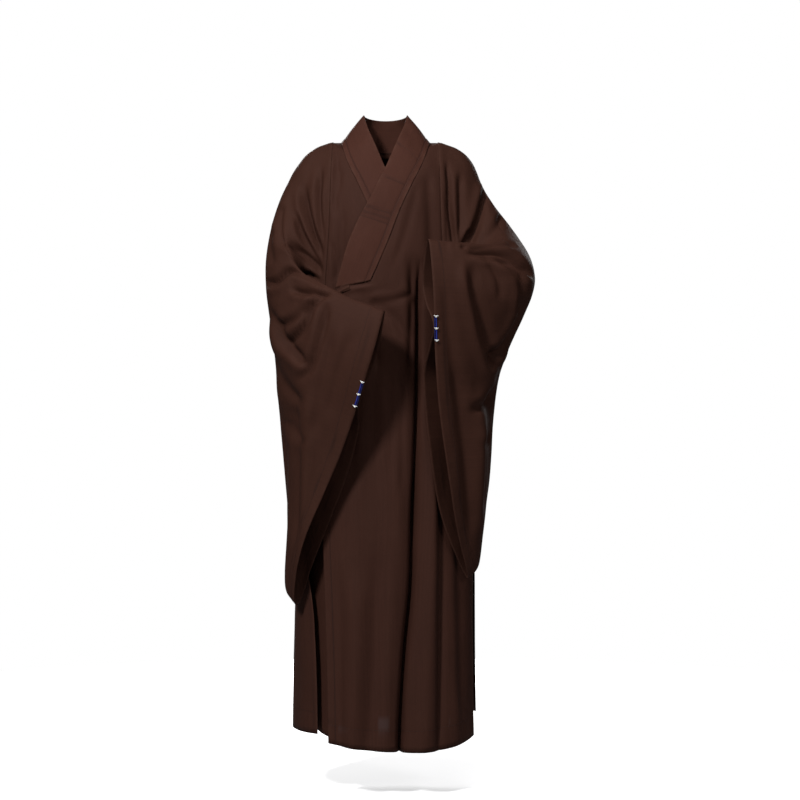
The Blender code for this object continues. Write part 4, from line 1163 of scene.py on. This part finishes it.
def makeSleeve(sleeve):
    side = sleeve["side"]
    count = 2 * form["armholeRows"]
    rowTimes, outerTimes, innerTimes = sleeveForm["refine"]
    outerPlaces = np.arange(count // 2 * outerTimes) / outerTimes
    places = np.concatenate([outerPlaces, count // 2 + np.arange(count // 2 * innerTimes) / innerTimes])
    grid = refine(sleeveGrid(sleeve), rowTimes, 1, closed=places)
    plain = gridNormals(grid, True)
    if side > 0:
        plain = -plain
    rows = np.arange(len(grid))[:, None] / rowTimes
    column = places[None, :]
    lastRow = form["sleeveRings"] + 0.5
    fromTop = np.minimum(column, count - column)
    fromLow = np.abs(column - count / 2)
    keep = smoothStep(rows / 2.0) * smoothStep((lastRow - rows) / 2.0) * smoothStep(fromLow / 4.0)
    keep = keep * np.where(rows > sleeveForm["creaseRows"], smoothStep(fromTop / 2.0), 1.0)
    shown = smoothStep((sleeveForm["creaseRows"] - rows) / 3.0)
    shown = shown * smoothStep((column - sleeveForm["crookColumn"]) / 4.0)
    x, z, turned = grid[..., 0], grid[..., 2], plain[..., 1] / sewing["faceOn"]
    frontFold = foldDepth(sleeve["folds"], x, z) * smoothStep(-turned)
    backFold = foldDepth(sleeveBackFolds, x, z) * smoothStep(turned)
    depth = (frontFold + backFold) * keep * np.where(column > count / 2, shown, 1.0)
    depth = depth + softWaves(grid, *sleeveForm["slack"]) * smoothStep(rows / 2.0) * smoothStep(fromLow / 3.0)
    depth = depth + sleeveForm["armholeRoll"] * np.exp(-((rows / 0.22) ** 2))
    grid = grid - plain * depth[..., None]
    grid[0] += sleeveForm["armholeLap"] * unit(grid[0] - grid[1])
    normals = gridNormals(grid, True)
    if side > 0:
        normals = -normals
    seam = hemSeam(grid, sewing["cuffUp"]) * smoothStep(fromLow / 2.0)
    grid = grid - normals * (seam * sewing["pressed"])[..., None]
    piece = clothPiece(sleeve["name"], grid, normals, form["clothThick"], sleeveCrepe, True, {"seam": seam})
    settle(piece, "robe_cloth", sleeve["node"])
    closedRound = [np.concatenate([values, values[:, :1]], axis=1) for values in (grid, normals)]
    stitchName = sleeve["name"].replace("Cloth", "Stitches")
    stitches = stitchMesh(stitchName, [hemRun(*closedRound, sewing["cuffStitch"])], brownThread)
    settle(stitches, "robe_cloth")
    print("robe:", sleeve["name"], "made", len(piece.data.polygons))
    return piece, stitches, grid, normals


rightPiece, rightStitches, *rightMouth = makeSleeve(rightSleeve)
leftPiece, leftStitches, *leftMouth = makeSleeve(leftSleeve)


# Neckband

bandForm = {
    "across": 5,
    "refine": (7, 12),
    "trim": 0.012,             # the stitched trim beside the outer edge
    "crossSeams": (-0.054, -0.104, -0.163),   # heights of the cross seams at the outer edge, left side
    "crossBend": 0.0025,
    "quiltRows": 6,
    "quiltStep": 0.0046,
    "crown": 0.0016,
    "slack": (0.03, 0.0009, 1.5),
    "seamDeep": 0.0007,
    "quiltDeep": 0.0004,
    "trimRaise": 0.0008,
    "standTop": (0.049, 0.053),      # y and z of the collar's upper edge at the nape
}


def bandGrid():
    rows = bandRows()
    share = np.linspace(0.0, 1.0, bandForm["across"])[None, :]
    parts = []
    for side in (1, -1):
        x = side * (rows[:, 0:1] * (1 - share) + rows[:, 2:3] * share)
        z = rows[:, 1:2] * (1 - share) + rows[:, 4:5] * share
        heldZ = np.minimum(z, -form["probe"])
        turn = turnOfX(x, heldZ)
        lying = bodyPoint(turn, np.minimum(z, 0.0))
        lift = np.zeros(len(rows)) if side > 0 else underLift(np.arange(len(rows), dtype=float))
        lying = lying + bodyNormal(turn, heldZ) * lift[:, None, None]
        standing = lying[:, 0:1, 1] * (1 - share) + rows[:, 3:4] * share
        lie = rows[:, 5:6]
        y = np.where(share > 0, lying[..., 1] * lie + standing * (1 - lie), lying[..., 1])
        parts.append(np.stack([x, y, z], axis=-1))
    neck = neckLine()
    across, back = neckTurns()
    topHalf, topY, topZ = (value * mm for value in neckband[0][2:5])
    napeY, napeZ = bandForm["standTop"]
    top = np.stack([topHalf * across, topY + (napeY - topY) * back, topZ + (napeZ - topZ) * back], axis=-1)
    collar = neck[:, None] * (1 - share[..., None]) + top[:, None] * share[..., None]
    return np.concatenate([parts[0][::-1], collar[1:-1], parts[1]])


bandSurface = refine(bandGrid(), *bandForm["refine"])
bandNormals = gridNormals(bandSurface, False)
if np.dot(bandNormals[len(bandNormals) // 2, 20], np.array([0.0, 1.0, 0.2])) < 0:
    bandNormals = -bandNormals
acrossBand = walked(bandSurface, 1)
bandWidth = acrossBand[:, -1:]
alongBand = walked(bandSurface[:, 0])
trim = bandForm["trim"]
lapRows = form["bandRows"] * bandForm["refine"][0]     # from the lap's corner to the shoulder


def bandLine(place, wide):     # a line across the band, from the trim to the inner edge
    return np.exp(-(((alongBand[:, None] - place) / wide) ** 2)) * (acrossBand > trim)


seam = np.exp(-(((acrossBand - trim) / 0.0011) ** 2))
lapHeights = -bandSurface[:lapRows, 0, 2][::-1]
bend = bandForm["crossBend"] * np.sin(math.pi * acrossBand / bandWidth)
crossPlaces = [np.interp(-z, lapHeights, alongBand[:lapRows][::-1]) for z in bandForm["crossSeams"]]
for place in crossPlaces:
    seam = np.maximum(seam, 0.6 * bandLine(place - bend, sewing["lineWide"]))
quiltPlaces = [crossPlaces[-1] - bandForm["quiltStep"] * (k + 1) for k in range(bandForm["quiltRows"])]
quilt = np.max([bandLine(place, 0.0010) for place in quiltPlaces], axis=0)
puff = np.sin(np.clip((acrossBand - trim) / (bandWidth - trim), 0, 1) * math.pi)
puff = bandForm["crown"] * np.maximum(puff, 0.0) ** 0.6 + bandForm["trimRaise"] * (acrossBand < trim)
inner = smoothStep((bandWidth - acrossBand) / 0.003)
relief = puff * inner * 0.8 + softWaves(bandSurface, *bandForm["slack"])
relief = relief - seam * bandForm["seamDeep"] - quilt * bandForm["quiltDeep"]
bandSurface = bandSurface + bandNormals * relief[..., None]
bandNormals = gridNormals(bandSurface, False, bandNormals)
bandPiece = clothPiece("neckbandCloth", bandSurface, bandNormals, form["bandThick"], bandCloth,
                       marks={"seam": np.maximum(seam, quilt * 0.55)})
settle(bandPiece, "band_cloth", "neckband")


def runAcrossBand(place):
    row = np.interp(place, alongBand, np.arange(len(alongBand)))
    first = np.interp(trim + 0.002, acrossBand[int(row)], np.arange(bandSurface.shape[1]))
    return runAlongRow(bandSurface, bandNormals, row, first, bandSurface.shape[1] - 2.0)


trimColumn = np.interp(trim - 0.0018, acrossBand.mean(axis=0), np.arange(bandSurface.shape[1]))
bandRuns = [runAlongColumn(bandSurface, bandNormals, trimColumn, 4, bandSurface.shape[0] - 5)]
bandRuns += [runAcrossBand(place + 0.0022) for place in crossPlaces]
bandRuns += [runAcrossBand(place) for place in quiltPlaces]
bandStitches = stitchMesh("neckbandStitches", bandRuns, brownThread, 0.0034, 0.0024, 0.0004,
                          form["bandThick"] / 2 + 0.0001)
settle(bandStitches, "band_cloth")
print("robe: neckband made", len(bandPiece.data.polygons))


# Waist tie

tieForm = {
    "route": [(-73, -316, 1.2), (-84, -321, 2.2), (-93, -327, 3.2), (-97, -335, 3.0), (-92, -343, 1.6)],
    "width": 0.010,
    "thick": 0.0012,
    "steps": 60,
    "columns": 15,
    "knot": (0.45, 0.42, 0.09),      # how much it is drawn in, where and over what share
}
route = walkTable(np.asarray(tieForm["route"], float) * mm, tieForm["steps"])
turn = turnOfX(route[:, 0], route[:, 1])
tieNormal = bodyNormal(turn, route[:, 1])
tieMiddle = bodyPoint(turn, route[:, 1]) + tieNormal * (route[:, 2] + form["lapLift"] + 0.0008)[:, None]
tieAcross = np.cross(tieNormal, unit(np.gradient(tieMiddle, axis=0)))
spread = np.linspace(-1.0, 1.0, tieForm["columns"])
drawn, knotPlace, knotWide = tieForm["knot"]
squeeze = 1.0 - drawn * np.exp(-(((np.linspace(0, 1, tieForm["steps"]) - knotPlace) / knotWide) ** 2))
offset = spread[None, :, None] * tieForm["width"] / 2 * squeeze[:, None, None]
tieGrid = tieMiddle[:, None] + tieAcross[:, None] * offset
tieGrid = tieGrid + tieNormal[:, None] * (0.0007 * np.cos(spread * 4.0)[None, :, None])
tieNormals = gridNormals(tieGrid, False, np.repeat(tieNormal[:, None], len(spread), axis=1))
tiePiece = clothPiece("waistTieCloth", tieGrid, tieNormals, tieForm["thick"], sleeveCrepe)
settle(tiePiece, "robe_cloth", "waist_tie")
print("robe: waist tie made")


# Blue tacks with white knots

tackForm = {
    "length": 0.052,
    "barWide": 0.0026,
    "barThick": 0.0019,
    "winds": 34,
    "windDeep": 0.13,
    "knot": (0.0042, 0.0019),        # size and thread radius
    "steps": 160,
    "knotSteps": (4, 80, 155),
    "brightIn": 0.0042,              # how far in from the mouth's edge each thread lies
    "darkIn": 0.0008,
    "knotIn": 0.0030,
    "knotOut": 0.0026,
}


def sweepBar(name, middle, wide, normal, halfWide, halfThick, material):   # a wound bar with rounded ends
    rings, sides = len(middle), 14
    verts, faces = [], []
    for i in range(rings):
        share = i / (rings - 1.0)
        close = math.sqrt(max(1.0 - (abs(share - 0.5) * 2.0) ** 10, 0.02))
        wind = math.sin(2 * math.pi * tackForm["winds"] * share)
        wound = 1.0 + tackForm["windDeep"] * wind
        for k in range(sides):
            angle = 2 * math.pi * k / sides + 0.5 * wind
            across = wide[i] * math.cos(angle) * halfWide * close * wound
            verts.append(middle[i] + across + normal[i] * math.sin(angle) * halfThick * close * wound)
    for i in range(rings - 1):
        for k in range(sides):
            n = (k + 1) % sides
            faces.append((i * sides + k, i * sides + n, (i + 1) * sides + n, (i + 1) * sides + k))
    faces.append(tuple(range(sides))[::-1])
    faces.append(tuple((rings - 1) * sides + k for k in range(sides)))
    return linkMesh(name, verts, faces, material)


def knotPiece(name, centre, wide, along, normal, material):   # a small tied knot with two cut tails
    verts, faces = [], []

    def addTube(points, radii):
        first = len(verts)
        points = np.asarray(points)
        ahead = unit(np.gradient(points, axis=0))
        for p, f, radius in zip(points, ahead, radii):
            sideways = unit(np.cross(f, normal))
            upward = np.cross(sideways, f)
            for k in range(8):
                angle = math.pi * k / 4
                verts.append(p + sideways * math.cos(angle) * radius + upward * math.sin(angle) * radius)
        for i in range(len(points) - 1):
            for k in range(8):
                n = (k + 1) % 8
                a = first + i * 8
                faces.append((a + k, a + n, a + 8 + n, a + 8 + k))
        faces.append(tuple(first + k for k in range(8))[::-1])
        faces.append(tuple(first + (len(points) - 1) * 8 + k for k in range(8)))

    size, radius = tackForm["knot"]
    t = np.linspace(0.0, 1.0, 22)
    loop = centre + np.outer(np.cos(2 * math.pi * t * 1.4) * size * 0.34, wide)
    loop = loop + np.outer(np.sin(2 * math.pi * t * 1.4) * size * 0.30, along) + np.outer(t * 0.0006, normal)
    addTube(loop, np.full(22, radius * 0.52))
    for lean in (-1.0, 1.0):
        s = np.linspace(0.0, 1.0, 8)
        tail = centre + np.outer(lean * s * size * 1.05, wide) + np.outer(-s**2 * size * 0.45, along)
        tail = tail + np.outer(0.0005 + 0.0008 * np.sin(math.pi * s), normal)
        addTube(tail, radius * (0.42 - 0.10 * s))
    return linkMesh(name, verts, faces, material)


def makeTack(word, grid, normals, tackDrop):
    half = form["armholeRows"] * sleeveForm["refine"][1]      # the column of the lower fold
    edge, near, edgeNormal = grid[-1, : half + 1], grid[-8, : half + 1], normals[-1, : half + 1]
    length = edge[0, 2] - edge[half, 2]
    drops = (edge[0, 2] - edge[:, 2]) / length
    reach = tackForm["length"] / 2 / length
    at = np.linspace(tackDrop - reach, tackDrop + reach, tackForm["steps"])
    point = readAt(at, drops, edge)
    normal = unit(readAt(at, drops, edgeNormal))
    wide = readAt(at, drops, near) - point
    wide = unit(wide - normal * np.sum(wide * normal, axis=-1, keepdims=True))
    lift = normal * (form["clothThick"] / 2 + tackForm["barThick"] * 0.55)
    halfWide, halfThick = tackForm["barWide"] / 2, tackForm["barThick"] / 2
    bright = sweepBar(f"{word}TackBar", point + wide * tackForm["brightIn"] + lift, wide, normal,
                      halfWide, halfThick, blueThread)
    dark = sweepBar(f"{word}TackBarDark", point + wide * tackForm["darkIn"] + lift * 0.8, wide, normal,
                    halfWide * 0.9, halfThick, darkBlueThread)
    settle(bright, "blue_thread", f"tack_{word}")
    settle(dark, "blue_thread")
    for number, place in enumerate(tackForm["knotSteps"], start=1):
        along = unit(point[place + 2] - point[place - 2])
        centre = point[place] + wide[place] * tackForm["knotIn"]
        centre = centre + normal[place] * (tackForm["knotOut"] + halfThick)
        knot = knotPiece(f"{word}TackKnot{number}", centre, wide[place], along, normal[place], whiteThread)
        settle(knot, "white_thread", f"tack_{word}_knot_{number}")


makeTack("right", *rightMouth, rightSleeve["tackDrop"])
makeTack("left", *leftMouth, leftSleeve["tackDrop"])
print("robe: tacks made")


# What each piece of cloth was cut from

def clothArea(piece):
    return sum(face.area for face in piece.data.polygons) / 2.0


for piece in (backPiece, overPiece, underPiece, rightPiece, leftPiece, bandPiece, tiePiece):
    print("robe: area of", piece.name, round(clothArea(piece), 4))


# Studio

studio = {
    "centre": (0.031, 0.0, -0.552),
    "distance": 4.5,
    "lens": 94.32,
    "floor": -1.378,
    "floorReach": 2.2,
    "floorGlow": 0.45,         # keeps the shadow as faint as the photo's
    "glowFrom": 0.35,          # the glow grows to white from here, over this far
    "glowOver": 0.9,
    "worldLight": 0.045,
}

lights = [                     # name, place, looks at, size, power
    ("keySoftbox", (-1.6, -2.9, 1.9), (0.0, 0.0, -0.4), 0.6, 175.0),
    ("fillSoftbox", (2.2, -3.2, 0.9), (0.0, 0.0, -0.3), 1.2, 34.0),
    ("topSoftbox", (0.2, -1.2, 2.4), (0.0, 0.0, -0.4), 1.2, 26.0),
    ("backLeft", (-1.2, 4.2, 1.6), (0.0, 0.0, -0.5), 0.8, 120.0),
    ("backRight", (1.8, 3.8, 0.8), (0.0, 0.0, -0.5), 1.2, 50.0),
]


def makeCamera():
    data = bpy.data.cameras.new("studioCamera")
    data.sensor_width = 36
    data.lens = studio["lens"]
    camera = bpy.data.objects.new("studioCamera", data)
    camera.location = (studio["centre"][0], -studio["distance"], studio["centre"][2])
    camera.rotation_euler = (math.radians(90), 0, 0)
    scene.collection.objects.link(camera)
    scene.camera = camera


def makeFloor():     # a disc that takes a faint shadow and fades into the white round it
    material, tree, shader = newMaterial("paleFloor")
    coords = tree.nodes.new("ShaderNodeTexCoord")
    cloud = times(tree, noiseNode(tree, coords.outputs["Object"], 1.5, 2.0, 0.5), 0.25)
    colour = mixColour(tree, cloud, (0.93, 0.93, 0.94, 1), (0.90, 0.90, 0.92, 1))
    path = tree.nodes.new("ShaderNodeLightPath")
    toRobe = (0.30, 0.30, 0.31, 1)     # little light goes back up to the robe
    seen = mixColour(tree, path.outputs["Is Camera Ray"], toRobe, colour)
    tree.links.new(seen, shader.inputs["Base Color"])
    shader.inputs["Roughness"].default_value = 0.7
    distance = tree.nodes.new("ShaderNodeVectorMath")
    distance.operation = "LENGTH"
    tree.links.new(coords.outputs["Object"], distance.inputs[0])
    away = plus(tree, distance.outputs["Value"], -studio["glowFrom"])
    away = mathNode(tree, "DIVIDE", away, studio["glowOver"], True)
    glow = times(tree, path.outputs["Is Camera Ray"], plus(tree, away, studio["floorGlow"]))
    shader.inputs["Emission Color"].default_value = (1.0, 1.0, 1.0, 1)
    tree.links.new(glow, shader.inputs["Emission Strength"])
    around = np.linspace(0.0, 2.0 * math.pi, 97)[:-1]
    verts = [(studio["floorReach"] * math.cos(a), studio["floorReach"] * math.sin(a), 0.0) for a in around]
    floor = linkMesh("studioFloor", verts, [tuple(range(len(verts)))], material)
    floor.location.z = studio["floor"]


def makeLights():
    for name, place, target, size, power in lights:
        data = bpy.data.lights.new(name, "AREA")
        data.shape = "DISK"
        data.size = size
        data.energy = power
        lamp = bpy.data.objects.new(name, data)
        lamp.location = place
        lamp.rotation_euler = (Vector(target) - Vector(place)).to_track_quat("-Z", "Y").to_euler()
        lamp.visible_camera = False
        scene.collection.objects.link(lamp)


def makeWorld():     # dim to the robe and white to the camera
    world = bpy.data.worlds.new("studioWorld")
    scene.world = world
    world.use_nodes = True
    tree = world.node_tree
    path = tree.nodes.new("ShaderNodeLightPath")
    mix = tree.nodes.new("ShaderNodeMixShader")
    tree.links.new(path.outputs["Is Camera Ray"], mix.inputs[0])
    bright = tree.nodes.new("ShaderNodeBackground")
    for slot, shade, strength in ((1, tree.nodes["Background"], studio["worldLight"]), (2, bright, 1.0)):
        shade.inputs[0].default_value = (1.0, 1.0, 1.0, 1)
        shade.inputs[1].default_value = strength
        tree.links.new(shade.outputs[0], mix.inputs[slot])
    tree.links.new(mix.outputs[0], tree.nodes["World Output"].inputs[0])
    scene.view_settings.view_transform = "Standard"


makeCamera()
makeFloor()
makeLights()
makeWorld()
print("robe: studio made")
